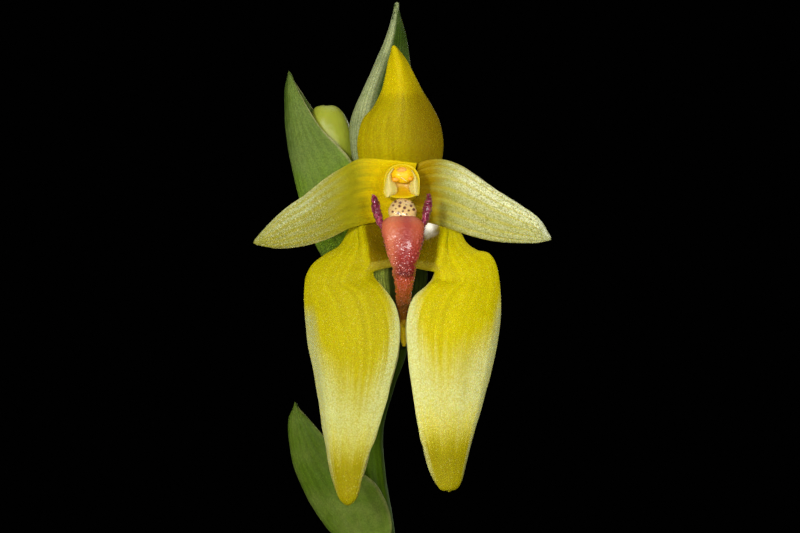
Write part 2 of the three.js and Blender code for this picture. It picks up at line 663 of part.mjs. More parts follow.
// The lateral sepals: broad hanging blades. In their upper part each folds back at a crease and
// lines one half of the cup behind the lip. Below the cup the blade is free on both sides.
const lateralSepals = {
  left: {
    cup: [
      { outer: [-5.4, 3.8, -1.4], crease: [-4.4, 3.3, -1.4], inner: [-1.4, 4.8, -1.4] },
      { outer: [-7.4, 2.8, -4.4], crease: [-5.4, 1.9, -4.05], inner: [-1.2, 5, -4.2] },
      { outer: [-9, 1.6, -7.05], crease: [-5, -0.2, -6.8], inner: [-0.8, 4.2, -7] },
      { outer: [-11.3, 0.9, -8.5], crease: [-4.8, -0.9, -8.4], inner: [-0.35, 1.4, -9] },
      { outer: [-13.1, 0.5, -9.8], crease: [-4.6, -1.3, -9.7], inner: [-0.35, 0.5, -9.8] },
      { outer: [-14, 0.2, -11.4], crease: [-5.3, -1.8, -10.9], inner: [-3.6, -0.9, -10.5] },
      { outer: [-14.3, 0, -13.4], crease: [-5.6, -2.2, -12.2], inner: [-3.8, -1.4, -11.6] },
    ],
    outer: [[-14.25, -0.2, -16], [-14, -0.6, -19], [-13.7, -1, -22], [-13, -1.4, -25.2],
      [-12.3, -1.8, -29], [-11.75, -2.2, -33], [-11, -2.4, -37], [-10.2, -2.6, -41],
      [-9.2, -2.8, -44.2], [-8.3, -2.9, -45.8]],
    inner: [[-2.5, -2.9, -13.2], [-0.7, -4, -15.7], [0, -4.5, -19], [-0.3, -4.5, -23.2],
      [-1.5, -4.2, -28], [-2.9, -3.9, -33.2], [-4.4, -3.7, -37.4], [-5.5, -3.5, -41.2],
      [-6.5, -3.3, -44.3], [-7.4, -3.2, -45.8]],
  },
  right: {
    cup: [
      { outer: [5.6, 3.8, -1.4], crease: [4.6, 3.3, -1.4], inner: [1.6, 4.8, -1.4] },
      { outer: [8.5, 2.8, -4.4], crease: [6.15, 1.9, -4.05], inner: [1.4, 5, -4.2] },
      { outer: [9.9, 1.6, -6.6], crease: [5.9, -0.2, -6.8], inner: [1.1, 4.2, -7] },
      { outer: [11.7, 0.9, -7.8], crease: [5.75, -0.9, -8.4], inner: [0.75, 1.4, -9] },
      { outer: [13.4, 0.5, -8.2], crease: [5.5, -1.3, -9.7], inner: [0.75, 0.5, -9.8] },
      { outer: [14.4, 0.2, -9.8], crease: [6.3, -1.8, -10.9], inner: [4.7, -0.9, -10.4] },
      { outer: [14.9, 0, -12.3], crease: [6.6, -2.2, -12.3], inner: [4.95, -1.4, -11.5] },
    ],
    outer: [[15.1, -0.2, -15.2], [15, -0.6, -18.2], [14.6, -1, -21.2], [14, -1.4, -24], [13.1, -1.8, -27.8],
      [12, -2.2, -31.8], [10.9, -2.4, -35.6], [9.8, -2.6, -39.4], [8.9, -2.8, -42.5], [8, -2.9, -43.8]],
    inner: [[3.9, -2.9, -13], [1.9, -4, -14.9], [0.96, -4.5, -18.15], [1.1, -4.5, -22.3],
      [1.7, -4.2, -27.3], [2.4, -3.9, -32], [3.2, -3.7, -36], [4.4, -3.5, -40.2], [5.7, -3.3, -42.9],
      [6.8, -3.2, -43.8]],
  },
};

// The grid of one lateral sepal. The free blade arches forward between its margins.
function lateralSepalGrid(side) {
  const { cup, outer, inner } = lateralSepals[side];
  const archRows = (start, end, bulge) => [0.16, 0.45, 0.74].map((share) => {
    const height = 4 * share * (1 - share);
    return start.clone().lerp(end, share).add(vector(0, -bulge * height, 0));
  });
  const rows = cup.map((station, index) => {
    const [start, fold, end] = [station.outer, station.crease, station.inner].map(seen);
    return [start, ...archRows(start, fold, mix(0.2, 1, index / cup.length)), fold, end];
  });
  outer.forEach((at, index) => {
    const [start, end] = [seen(at), seen(inner[index])];
    const bulge = mix(1.5, 0.2, (index / (outer.length - 1)) ** 1.5);
    const shoulder = start.clone().lerp(end, 0.88).add(vector(0, -0.42 * bulge, 0));
    rows.push([start, ...archRows(start, end, bulge), shoulder, end]);
  });
  return surfaceOver(rows, 24, 8);
}

// The column with its hollow stigma, two pale wings and the foot that carries the lip.
function makeColumn(grow = 0) {
  const middle = 0.3;
  const levels = [[4.8, 1.7, 0, 3], [2.6, 2.2, -0.3, 4.3], [0.2, 2.5, -0.1, 5], [-2.9, 2.65, 0.2, 5.25]];
  const rings = levels.map(([depth, half, low, high]) => {
    const ring = [];
    for (let side = 0; side < 16; side += 1) {
      const angle = (2 * Math.PI * side) / 16;
      const round = 0.8;
      const across = Math.sign(Math.cos(angle)) * Math.abs(Math.cos(angle)) ** round;
      const up = Math.sin(angle) < 0 ? -(Math.abs(Math.sin(angle)) ** 0.5) : Math.sin(angle);
      const height = mix(low, high, 0.5) + (up * (high - low)) / 2;
      const reach = depth + grow * Math.sign(depth);
      ring.push(vector(middle + across * (half + grow), reach, height + grow * up));
    }
    return ring;
  });
  const foot = [
    { at: vector(middle, 3.4, 0.6), width: 1.5, depth: 0.9 },
    { at: vector(middle, 3.5, -2.4), width: 1.4, depth: 0.85 },
    { at: vector(middle, 2.9, -5), width: 1.3, depth: 0.8 },
    { at: vector(middle, 1, -6.9), width: 1.15, depth: 0.75 },
    { at: vector(middle, -0.6, -7.3), width: 1, depth: 0.6 },
  ];
  const whole = joined(solidOf(bodyThrough(rings)), solidOf(taperedBody(foot, 10, 9, grow)));
  if (grow > 0) {
    return whole;
  }
  const hollow = ball(vector(middle, -3.6, 1.7), vector(1.35, 2.2, 1.9));
  return cutBy(whole, hollow, makeAnther(clearance));
}

// The anther cap that sits in the top of the column's front.
function makeAnther(grow = 0) {
  return ball(vector(0.3, -2.7, 3.9), vector(1.25, 1, 0.85), grow);
}

// The lip: a spotted knee over its hinge, then a thick hanging tongue, with a fringed lobe each side.
function makeLip() {
  const tongue = [
    { at: [0.3, -1.5, -6.9], width: 0.8, depth: 0.6 },
    { at: [0.3, -2.7, -4.4], width: 1.4, depth: 0.7 },
    { at: [0.3, -3.3, -2.2], width: 2, depth: 0.9 },
    { at: [0.3, -4.3, -0.8], width: 2.2, depth: 1 },
    { at: [0.3, -5.6, -1.4], width: 2.7, depth: 1.15 },
    { at: [0.3, -6.6, -3.6], width: 3.2, depth: 1.3 },
    { at: [0.5, -7.1, -6.4], width: 2.75, depth: 1.35 },
    { at: [0.6, -6.8, -9.6], width: 1.95, depth: 1.2 },
    { at: [0.65, -5.7, -12.6], width: 1.4, depth: 1 },
    { at: [0.65, -3.8, -15.3], width: 0.95, depth: 0.7 },
    { at: [0.6, -1.9, -17.8], width: 0.65, depth: 0.55 },
    { at: [0.6, -1, -20.3], width: 0.55, depth: 0.5 },
    { at: [0.7, -0.7, -21.9], width: 0.3, depth: 0.3 },
  ].map(({ at, width, depth }) => ({ at: seen(at), width, depth }));
  const body = solidOf(taperedBody(tongue, 10, 22));
  const lobes = [
    [[-2.2, -5.2, -4.2], [-3.3, -5.2, -3.2], [-3.7, -4.9, -1.5], [-3.7, -4.6, 0], [-3.8, -4.5, 0.7]],
    [[3, -5.2, -3.8], [3.9, -5.2, -2.8], [4.2, -4.9, -1.4], [4.3, -4.6, 0], [4.25, -4.5, 0.75]],
  ].map((points) => {
    const sizes = [0.5, 0.55, 0.6, 0.55, 0.3];
    const stations = points.map((at, index) => {
      return { at: seen(at), width: sizes[index], depth: 1.6 * sizes[index] };
    });
    return solidOf(taperedBody(stations, 6, 5));
  });
  return joined(body, ...lobes, ...lobeFringe(lobes.length));
}

// The short thick hairs that stand out of the edges of the lip's two side lobes.
function lobeFringe(sides) {
  const hairs = [];
  for (let side = 0; side < sides; side += 1) {
    const direction = side === 0 ? -1 : 1;
    const middle = side === 0 ? -3.65 : 4.2;
    for (let hair = 0; hair < 6; hair += 1) {
      const height = mix(-2.4, 0.5, hair / 5);
      const turn = hair % 2 === 0 ? direction : -direction;
      const root = vector(middle, -5, height);
      const tip = vector(middle + 0.85 * turn, -5.7, height + 0.5);
      hairs.push(solidOf(roundBody([root, tip], [0.28, 0.14], 4, 1)));
    }
  }
  return hairs;
}

// The flower and everything that stands on the stalk, in the frame of the flower's heart.
function makeInflorescence() {
  const blades = {
    petal_left: [petalGrid("left"), petalThickness],
    petal_right: [petalGrid("right"), petalThickness],
    sepal_lateral_left: [lateralSepalGrid("left"), sepalThickness],
    sepal_lateral_right: [lateralSepalGrid("right"), sepalThickness],
    sepal_back: [backSepalGrid(), sepalThickness],
  };
  const solid = (name, grow = 0) => solidOf(bladeOver(...blades[name], grow));
  const widePetals = ["petal_left", "petal_right"].map((name) => solid(name, clearance));
  const wideSepals = ["sepal_lateral_left", "sepal_lateral_right"].map((name) => solid(name, clearance));
  const wideColumn = makeColumn(clearance);
  const wideStalk = makeStalk(clearance);
  const wideOvary = makeOvary(clearance);
  const wideBuds = Object.values(buds).map(({ points, radii }) => {
    return solidOf(roundBody(points.map(seen), radii, 8, 10, clearance));
  });

  const group = new THREE.Group();
  group.add(piece("flower_stalk", makeStalk(), "stem"));
  sheaths.forEach((sheath) => group.add(piece(sheath.name, makeSheath(sheath), "sheath")));
  Object.entries(bracts).forEach(([name, bract]) => {
    const cutters = [wideStalk, wideOvary, ...wideBuds];
    if (name === "bract_upper") {
      cutters.push(makeBract(bracts.bract_open_flower, clearance));
    }
    group.add(piece(name, cutBy(makeBract(bract), ...cutters), "bract"));
  });
  Object.entries(buds).forEach(([name, { points, radii }]) => {
    const bud = solidOf(roundBody(points.map(seen), radii, 8, 10));
    group.add(piece(name, cutBy(bud, wideStalk), "bud"));
  });
  const wideBack = solid("sepal_back", clearance);
  const ovary = cutBy(makeOvary(), wideColumn, wideStalk, wideBack, ...wideSepals, ...widePetals);
  group.add(piece("ovary", ovary, "stem"));
  group.add(piece("sepal_back", cutBy(solid("sepal_back"), wideColumn, ...widePetals), "sepal"));
  const leftPetal = cutBy(solid("petal_left"), wideColumn);
  group.add(piece("petal_left", leftPetal, "petal"));
  group.add(piece("petal_right", cutBy(solid("petal_right"), wideColumn, widePetals[0]), "petal"));
  const leftSepal = cutBy(solid("sepal_lateral_left"), wideColumn, ...widePetals);
  group.add(piece("sepal_lateral_left", leftSepal, "sepal"));
  const rightSepal = cutBy(solid("sepal_lateral_right"), wideColumn, ...widePetals);
  group.add(piece("sepal_lateral_right", rightSepal, "sepal"));
  group.add(piece("column", makeColumn(), "column"));
  group.add(piece("anther_cap", makeAnther(), "anther"));
  group.add(piece("lip", makeLip(), "lip"));
  group.position.set(0, 0, flowerHeight);
  return group;
}

// The pot with the plant's lower part.
function makePottedPlant() {
  const group = new THREE.Group();
  const wideRhizome = makeRhizome(clearance);
  const wideBulbs = growths.map((growth) => makeBulb(growth, clearance));
  const wideStalk = makeStalk(clearance).translate([0, 0, flowerHeight]);
  group.add(piece("pot", makePot(), "clay"));
  group.add(piece("potting_mix", makeMix([wideRhizome, ...wideBulbs, wideStalk]), "bark"));
  group.add(piece("rhizome", cutBy(makeRhizome(), ...wideBulbs, wideStalk), "rhizome"));
  growths.forEach((growth, index) => {
    group.add(piece(`pseudobulb_${index + 1}`, makeBulb(growth), "bulb"));
    group.add(piece(`leaf_${index + 1}`, makeLeaf(growth), "leaf"));
  });
  return group;
}

const orchid = new THREE.Group();
orchid.name = "potted_orchid";
orchid.add(makePottedPlant(), makeInflorescence());

export default orchid;
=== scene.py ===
"""A flowering Bulbophyllum orchid in a clay pot of bark mix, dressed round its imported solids.

Shapes are worked out in millimetres, in the frame of the solids, and go into the meshes in metres.
The flower and its stalk are laid out from the flower's heart, which is FLOWER_HEIGHT above the pot's foot.
"""

import logging
import math
from dataclasses import dataclass, field
from enum import Enum
from itertools import product

import bpy
import numpy as np
from mathutils import Euler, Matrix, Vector

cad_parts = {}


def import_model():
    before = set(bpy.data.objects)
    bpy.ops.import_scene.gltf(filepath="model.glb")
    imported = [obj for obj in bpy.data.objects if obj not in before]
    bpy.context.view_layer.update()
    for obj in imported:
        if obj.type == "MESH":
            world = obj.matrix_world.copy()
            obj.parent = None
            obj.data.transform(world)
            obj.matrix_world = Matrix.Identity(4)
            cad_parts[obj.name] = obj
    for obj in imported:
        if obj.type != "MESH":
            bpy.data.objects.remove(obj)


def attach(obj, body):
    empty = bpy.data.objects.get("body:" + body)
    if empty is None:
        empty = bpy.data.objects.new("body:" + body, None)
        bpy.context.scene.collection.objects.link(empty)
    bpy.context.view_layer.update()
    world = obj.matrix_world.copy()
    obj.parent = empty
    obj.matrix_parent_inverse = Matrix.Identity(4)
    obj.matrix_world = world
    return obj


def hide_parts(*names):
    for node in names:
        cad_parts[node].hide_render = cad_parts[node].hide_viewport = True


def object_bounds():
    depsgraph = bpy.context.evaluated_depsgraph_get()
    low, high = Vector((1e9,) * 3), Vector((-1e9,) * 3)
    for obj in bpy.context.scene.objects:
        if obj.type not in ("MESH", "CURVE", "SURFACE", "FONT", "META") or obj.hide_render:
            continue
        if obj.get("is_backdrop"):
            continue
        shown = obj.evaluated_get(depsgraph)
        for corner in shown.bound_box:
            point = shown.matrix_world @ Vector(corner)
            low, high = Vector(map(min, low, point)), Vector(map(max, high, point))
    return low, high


log = logging.getLogger("orchid")

Array = np.ndarray
Material, Node, Socket, Tree = bpy.types.Material, bpy.types.Node, bpy.types.NodeSocket, bpy.types.NodeTree
Colour = tuple[float, float, float]

MM = 0.001
VIEWING_DISTANCE = 430.0
EYE_LEVEL = -10.0
FLOWER_HEIGHT = 372.0
HEART = np.array([0.0, 0.0, FLOWER_HEIGHT])
GOLDEN_ANGLE = math.pi * (3 - math.sqrt(5))
THINNEST = 0.02


# Curves and grids


def smooth(values: Array, shares: Array) -> Array:
    """Reads the smooth curve through a list of values.

    Between two stations the curve is the cubic whose slope at each station is half the way from the
    station before it to the one after it. Past both ends the list runs straight on.

    Args:
        values: One number, point or row of points for each station.
        shares: Where to read, from 0 at the first station to 1 at the last.

    Returns:
        The values there, one for each share.
    """
    values = np.asarray(values, float)
    shares = np.atleast_1d(np.asarray(shares, float))
    last = len(values) - 1
    longer = np.concatenate([[2 * values[0] - values[1]], values, [2 * values[-1] - values[-2]]])
    place = np.clip(shares, 0, 1) * last
    cell = np.minimum(place.astype(int), last - 1)
    t = (place - cell).reshape(-1, *([1] * (values.ndim - 1)))
    before, start, end, after = (longer[cell + step] for step in range(4))
    rise = t * t * (3 - 2 * t)
    slope_in = t * (1 - t) ** 2 * (end - before) / 2
    slope_out = t * t * (t - 1) * (after - start) / 2
    return (1 - rise) * start + rise * end + slope_in + slope_out


def surface_over(rows: Array, along: Array, across: Array) -> Array:
    """Spans a smooth surface over rows of points, smooth along every row and every column.

    Args:
        rows: The points, as stations by points in a row by 3.
        along: Shares from the first row to the last.
        across: Shares from the first point of a row to its last.

    Returns:
        The grid of points, as along by across by 3.
    """
    columns = smooth(np.asarray(rows, float).transpose(1, 0, 2), across)
    return smooth(columns.transpose(1, 0, 2), along)


def seen(points: Array) -> Array:
    """Moves points out along their line of sight, so that deeper ones look their size from in front.

    A point at depth y spreads from the eye's axis by 1 + y / VIEWING_DISTANCE.

    Args:
        points: Points whose x and z are read at the flower's own distance.

    Returns:
        The points in the frame of the flower's heart.
    """
    points = np.asarray(points, float)
    spread = 1 + points[..., 1] / VIEWING_DISTANCE
    level = EYE_LEVEL + (points[..., 2] - EYE_LEVEL) * spread
    return np.stack([points[..., 0] * spread, points[..., 1], level], axis=-1)


def unit(vectors: Array) -> Array:
    """Gives vectors the length 1, and leaves those with no length."""
    length = np.linalg.norm(vectors, axis=-1, keepdims=True)
    return vectors / np.maximum(length, 1e-9)


def grid_normals(grid: Array) -> Array:
    """Works out the unit normals of a grid: the cross product of its two directions."""
    return unit(np.cross(np.gradient(grid, axis=0), np.gradient(grid, axis=1)))


def even(count: int) -> Array:
    """Gives count + 1 even shares from 0 to 1."""
    return np.linspace(0, 1, count + 1)


def circle(count: int) -> Array:
    """Gives count even angles once round, from 0, in radians."""
    return 2 * np.pi * np.arange(count) / count


def points_at(x: Array, y: Array, z: Array) -> Array:
    """Puts coordinates together as points, each spread over the grid of the others."""
    return np.stack(np.broadcast_arrays(x, y, z), axis=-1)


def turned_round(radius: Array, level: Array, sides: int) -> Array:
    """Turns an outline, given by its radii and levels, round the z axis into rings of points."""
    angle = circle(sides)
    return points_at(radius[:, None] * np.cos(angle), radius[:, None] * np.sin(angle), level[:, None])


def outwards(rings: Array) -> Array:
    """Gives the unit directions from every ring's middle to its points."""
    return unit(rings - rings.mean(axis=1, keepdims=True))


def widened(rings: Array, factor: Array) -> Array:
    """Widens rings about their middles by a factor for each ring or point."""
    middle = rings.mean(axis=1, keepdims=True)
    return middle + (rings - middle) * factor


def crowded_ends(count: int, pull: float = 0.75) -> Array:
    """Gives count + 1 shares from 0 to 1 that lie closer at both ends, for round edges.

    Args:
        count: How many steps.
        pull: 0 for even steps, 1 for a full cosine.

    Returns:
        The shares.
    """
    flat = even(count)
    return (1 - pull) * flat + pull * (1 - np.cos(np.pi * flat)) / 2


def lattice_noise(points: Array, size: float, seed: int = 0) -> Array:
    """Gives smooth random values from -1 to 1 in space.

    Every corner of a cubic lattice gets a value from a hash of its place. A point blends the eight
    corners round it by smooth steps.

    Args:
        points: Points, the last axis being x, y and z.
        size: The lattice's pitch, in the unit of the points.
        seed: Another whole number gives other values.

    Returns:
        One value for each point.
    """
    place = np.asarray(points, float) / size
    cell = np.floor(place).astype(np.int64)
    part = place - cell
    part = part * part * (3 - 2 * part)
    total = np.zeros(place.shape[:-1])
    for corner in product((0, 1), repeat=3):
        at = cell + np.array(corner)
        mixed = at[..., 0] * 73856093 ^ at[..., 1] * 19349663 ^ at[..., 2] * 83492791 ^ (seed * 7919 + 17)
        mixed = (mixed ^ (mixed >> 13)) * 1274126177 & 0xFFFFFFFF
        value = ((mixed ^ (mixed >> 16)) & 0xFFFF) / 32767.5 - 1
        total += value * np.prod(np.where(corner, part, 1 - part), axis=-1)
    return total


def rough_noise(points: Array, size: float, seed: int = 0, octaves: int = 3) -> Array:
    """Adds lattice noise at halved sizes and halved strengths, for rough natural surfaces."""
    layers = [lattice_noise(points, size / 2**step, seed + step) / 2**step for step in range(octaves)]
    return sum(layers)


def step_between(low: float, high: float, values: Array) -> Array:
    """Rises smoothly from 0 at low to 1 at high."""
    share = np.clip((np.asarray(values, float) - low) / (high - low), 0, 1)
    return share * share * (3 - 2 * share)


# Meshes


@dataclass
class Patch:
    """A surface: its points, its faces, their corners' UV places and named masks on its points."""

    points: Array
    quads: Array
    triangles: Array
    uv: Array
    masks: dict[str, Array] = field(default_factory=dict)

    def moved(self, by: Array) -> "Patch":
        """Gives the same patch, moved."""
        return Patch(self.points + by, self.quads, self.triangles, self.uv, self.masks)

    def turned_out(self) -> "Patch":
        """Gives the patch with its faces outwards, by the sign of the volume that it encloses."""
        middle = self.points.mean(axis=0)
        a, b, c, d = (self.points[self.quads[:, corner]] - middle for corner in range(4))
        volume = (a * np.cross(b, c)).sum() + (a * np.cross(c, d)).sum()
        if volume >= 0:
            return self
        quad_corners = 4 * len(self.quads)
        uv = np.concatenate([
            self.uv[:quad_corners].reshape(-1, 4, 2)[:, ::-1].reshape(-1, 2),
            self.uv[quad_corners:].reshape(-1, 3, 2)[:, ::-1].reshape(-1, 2),
        ])
        return Patch(self.points, self.quads[:, ::-1], self.triangles[:, ::-1], uv, self.masks)


def joined(patches: list[Patch]) -> Patch:
    """Puts patches together in one, with every mask that any of them has.

    Args:
        patches: The patches. A patch without one of the masks has 0 for it.

    Returns:
        The patch of all of them.
    """
    names = sorted({name for patch in patches for name in patch.masks})
    starts = np.cumsum([0] + [len(patch.points) for patch in patches[:-1]])
    quad_uv = [patch.uv[: 4 * len(patch.quads)] for patch in patches]
    triangle_uv = [patch.uv[4 * len(patch.quads):] for patch in patches]
    masks = {
        name: np.concatenate([patch.masks.get(name, np.zeros(len(patch.points))) for patch in patches])
        for name in names
    }
    return Patch(
        np.concatenate([patch.points for patch in patches]),
        np.concatenate([patch.quads + start for patch, start in zip(patches, starts)]),
        np.concatenate([patch.triangles + start for patch, start in zip(patches, starts)]),
        np.concatenate(quad_uv + triangle_uv),
        masks,
    )


def grid_quads(rows: int, columns: int, around: bool = False) -> tuple[Array, Array]:
    """Joins a grid of points by quads.

    Args:
        rows: Rows of points.
        columns: Points in a row.
        around: Whether the last column joins the first.

    Returns:
        The quads, and the places of their corners as u across and v along, from 0 to 1.
    """
    steps = columns if around else columns - 1
    along, across = np.meshgrid(np.arange(rows - 1), np.arange(steps), indexing="ij")
    corners = [(along, across), (along, across + 1), (along + 1, across + 1), (along + 1, across)]
    quads = np.stack([a * columns + b % columns for a, b in corners], axis=-1).reshape(-1, 4)
    places = [np.stack([b / steps, a / (rows - 1)], axis=-1) for a, b in corners]
    return quads, np.stack(places, axis=-2).reshape(-1, 2)


def tube(rings: Array, masks: dict[str, Array] | None = None) -> Patch:
    """Closes a body through rings of points, with a fan of triangles at each end.

    Args:
        rings: The points, as rings by points round a ring by 3.
        masks: Named values, spread over the rings by points round a ring.

    Returns:
        The closed patch.
    """
    count, sides = rings.shape[:2]
    quads, uv = grid_quads(count, sides, around=True)
    points = np.concatenate([rings.reshape(-1, 3), rings[0].mean(0)[None], rings[-1].mean(0)[None]])
    side = np.arange(sides)
    following = (side + 1) % sides
    first, last = count * sides, count * sides + 1
    top = (count - 1) * sides
    triangles = np.concatenate([
        np.stack([np.full(sides, first), following, side], axis=-1),
        np.stack([np.full(sides, last), top + side, top + following], axis=-1),
    ])
    middle = (side + 0.5) / sides
    low = np.stack([middle, (side + 1) / sides, side / sides], axis=-1)
    high = np.stack([middle, side / sides, (side + 1) / sides], axis=-1)
    ends = [np.stack([low, np.zeros_like(low)], axis=-1), np.stack([high, np.ones_like(high)], axis=-1)]
    full = {}
    for name, values in (masks or {}).items():
        values = np.broadcast_to(values, rings.shape[:2])
        full[name] = np.concatenate([values.reshape(-1), [values[0].mean(), values[-1].mean()]])
    return Patch(points, quads, triangles, np.concatenate([uv, *[end.reshape(-1, 2) for end in ends]]), full)


def blade(grid: Array, half: Array, masks: dict[str, Array] | None = None) -> Patch:
    """Gives a grid of points a thickness, and closes it all round its margin.

    The two faces lie half a thickness before and behind the grid along its normals.

    Args:
        grid: The middle surface, as along by across by 3.
        half: Half the thickness at each point of the grid.
        masks: Named values for the points of the grid.

    Returns:
        The closed patch. Both faces share the UV places of the grid.
    """
    rows, columns = grid.shape[:2]
    normals = grid_normals(grid)
    sheets = [grid + side * half[..., None] * normals for side in (1, -1)]
    quads, uv = grid_quads(rows, columns)
    back = quads[:, ::-1] + rows * columns
    back_uv = uv.reshape(-1, 4, 2)[:, ::-1].reshape(-1, 2)
    numbers = np.arange(rows * columns).reshape(rows, columns)
    rim = np.concatenate([numbers[0, :-1], numbers[:-1, -1], numbers[-1, :0:-1], numbers[:0:-1, 0]])
    following = np.roll(rim, -1)
    edge = np.stack([rim, rim + rows * columns, following + rows * columns, following], axis=-1)
    across, along = np.meshgrid(even(columns - 1), even(rows - 1))
    places = np.stack([across, along], axis=-1).reshape(-1, 2)
    edge_uv = places[edge % (rows * columns)].reshape(-1, 2)
    full = {name: np.tile(values.reshape(-1), 2) for name, values in (masks or {}).items()}
    return Patch(
        np.concatenate([sheet.reshape(-1, 3) for sheet in sheets]),
        np.concatenate([quads, back, edge]),
        np.zeros((0, 3), int),
        np.concatenate([uv, back_uv, edge_uv]),
        full,
    ).turned_out()


def rings_along(
    points: Array, widths: Array, sides: int, steps: int, depths: Array | None = None,
    width_axis: Colour = (1, 0, 0),
) -> Array:
    """Carries a round or oval section along a smooth path.

    At each station the oval's width lies as nearly as it can along width_axis, and its depth square to
    the width and to the path.

    Args:
        points: The path's stations.
        widths: Half widths at the stations.
        sides: Points round the section.
        steps: Steps along the path.
        depths: Half depths at the stations, or None for a round section.
        width_axis: The direction of the widths.

    Returns:
        The rings, as steps + 1 by sides by 3.
    """
    shares = even(steps)
    path = smooth(points, shares)
    ahead = smooth(points, np.minimum(shares + 1e-3, 1))
    behind = smooth(points, np.maximum(shares - 1e-3, 0))
    heading = unit(ahead - behind)
    depthwise = unit(np.cross(heading, np.array(width_axis, float)))
    widthwise = np.cross(depthwise, heading)
    angle = circle(sides)[None, :, None]
    width = np.maximum(smooth(widths, shares), THINNEST)[:, None, None]
    depth = width if depths is None else np.maximum(smooth(depths, shares), THINNEST)[:, None, None]
    across = np.cos(angle) * width * widthwise[:, None]
    return path[:, None] + across + np.sin(angle) * depth * depthwise[:, None]


def strands(starts: Array, tips: Array, sag: Array, radius: float, sides: int, steps: int) -> Patch:
    """Makes many fine tapered hairs at once, each a bent tube that ends in a point.

    The middle line runs from start to tip and leaves the straight line by sag times 4 s (1 - s).

    Args:
        starts: The roots, one point a hair.
        tips: The ends, one point a hair.
        sag: How far each middle is pushed out, one vector a hair.
        radius: The hair's radius at its root.
        sides: Sides of each hair.
        steps: Steps along each hair.

    Returns:
        All hairs in one patch, with the mask "tip" rising from 0 at the root to 1.
    """
    share = even(steps)[None, :, None]
    line = starts[:, None] + (tips - starts)[:, None] * share + sag[:, None] * 4 * share * (1 - share)
    heading = unit(np.gradient(line, axis=1))
    other = np.where(np.abs(heading[..., 2:]) > 0.8, np.array([1.0, 0, 0]), np.array([0, 0, 1.0]))
    first = unit(np.cross(heading, other))
    second = np.cross(heading, first)
    angle = circle(sides)[None, None, :, None]
    size = radius * np.maximum(1 - share[..., None] ** 1.5, 0.06)
    round_way = np.cos(angle) * first[:, :, None] + np.sin(angle) * second[:, :, None]
    rings = line[:, :, None] + size * round_way
    hairs, count = len(starts), steps + 1
    quads, uv = grid_quads(count, sides, around=True)
    start = (np.arange(hairs) * count * sides)[:, None, None]
    last = (np.arange(sides) + steps * sides)[None]
    caps = np.stack([last[:, [0, side, side + 1]] for side in range(1, sides - 1)], axis=1)
    masks = {"tip": np.broadcast_to(share[..., None], (hairs, count, sides, 1)).reshape(-1)}
    cap_count = hairs * (sides - 2) * 3
    return Patch(
        rings.reshape(-1, 3),
        (quads[None] + start).reshape(-1, 4),
        (caps + start).reshape(-1, 3),
        np.concatenate([np.tile(uv, (hairs, 1)), np.ones((cap_count, 2))]),
        masks,
    )


def make_object(name: str, patch: Patch, material: Material) -> bpy.types.Object:
    """Puts a patch into a new object at the origin, smooth-shaded.

    Args:
        name: The object's name.
        patch: The surface, in millimetres.
        material: Its finish.

    Returns:
        The linked object.
    """
    mesh = bpy.data.meshes.new(name)
    corners = np.concatenate([patch.quads.reshape(-1), patch.triangles.reshape(-1)])
    starts = np.concatenate([
        4 * np.arange(len(patch.quads)),
        4 * len(patch.quads) + 3 * np.arange(len(patch.triangles)),
    ])
    mesh.vertices.add(len(patch.points))
    mesh.vertices.foreach_set("co", (patch.points * MM).astype(np.float32).ravel())
    mesh.loops.add(len(corners))
    mesh.loops.foreach_set("vertex_index", corners.astype(np.int32))
    mesh.polygons.add(len(starts))
    mesh.polygons.foreach_set("loop_start", starts.astype(np.int32))
    mesh.update(calc_edges=True)
    layer = mesh.uv_layers.new(name="UVMap")
    layer.uv.foreach_set("vector", patch.uv.astype(np.float32).ravel())
    for mask, values in patch.masks.items():
        attribute = mesh.attributes.new(mask, "FLOAT", "POINT")
        attribute.data.foreach_set("value", values.astype(np.float32))
    mesh.polygons.foreach_set("use_smooth", np.ones(len(starts), bool))
    mesh.validate()
    mesh.materials.append(material)
    made = bpy.data.objects.new(name, mesh)
    bpy.context.scene.collection.objects.link(made)
    return made


def place_piece(
    name: str, patch: Patch, material: Material, slot: str, *nodes: str
) -> bpy.types.Object:
    """Makes a piece of the plant that rides on the only body.

    Args:
        name: The piece's name.
        patch: Its surface, in millimetres, in the frame of the solids.
        material: Its finish.
        slot: The name of a material slot; it is not used.
        *nodes: The solids that it stands for.

    Returns:
        The piece.
    """
    made = make_object(name, patch, material)
    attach(made, "root")
    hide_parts(*nodes)
    log.info("%s: %d faces", name, len(made.data.polygons))
    return made


# Shading


Source = Socket | float | tuple


def shown(red: int, green: int, blue: int) -> Colour:
    """Turns a colour as a screen shows it, from 0 to 255, into the linear one that shaders use."""
    parts = [part / 255 for part in (red, green, blue)]
    return tuple(p / 12.92 if p <= 0.04045 else ((p + 0.055) / 1.055) ** 2.4 for p in parts)


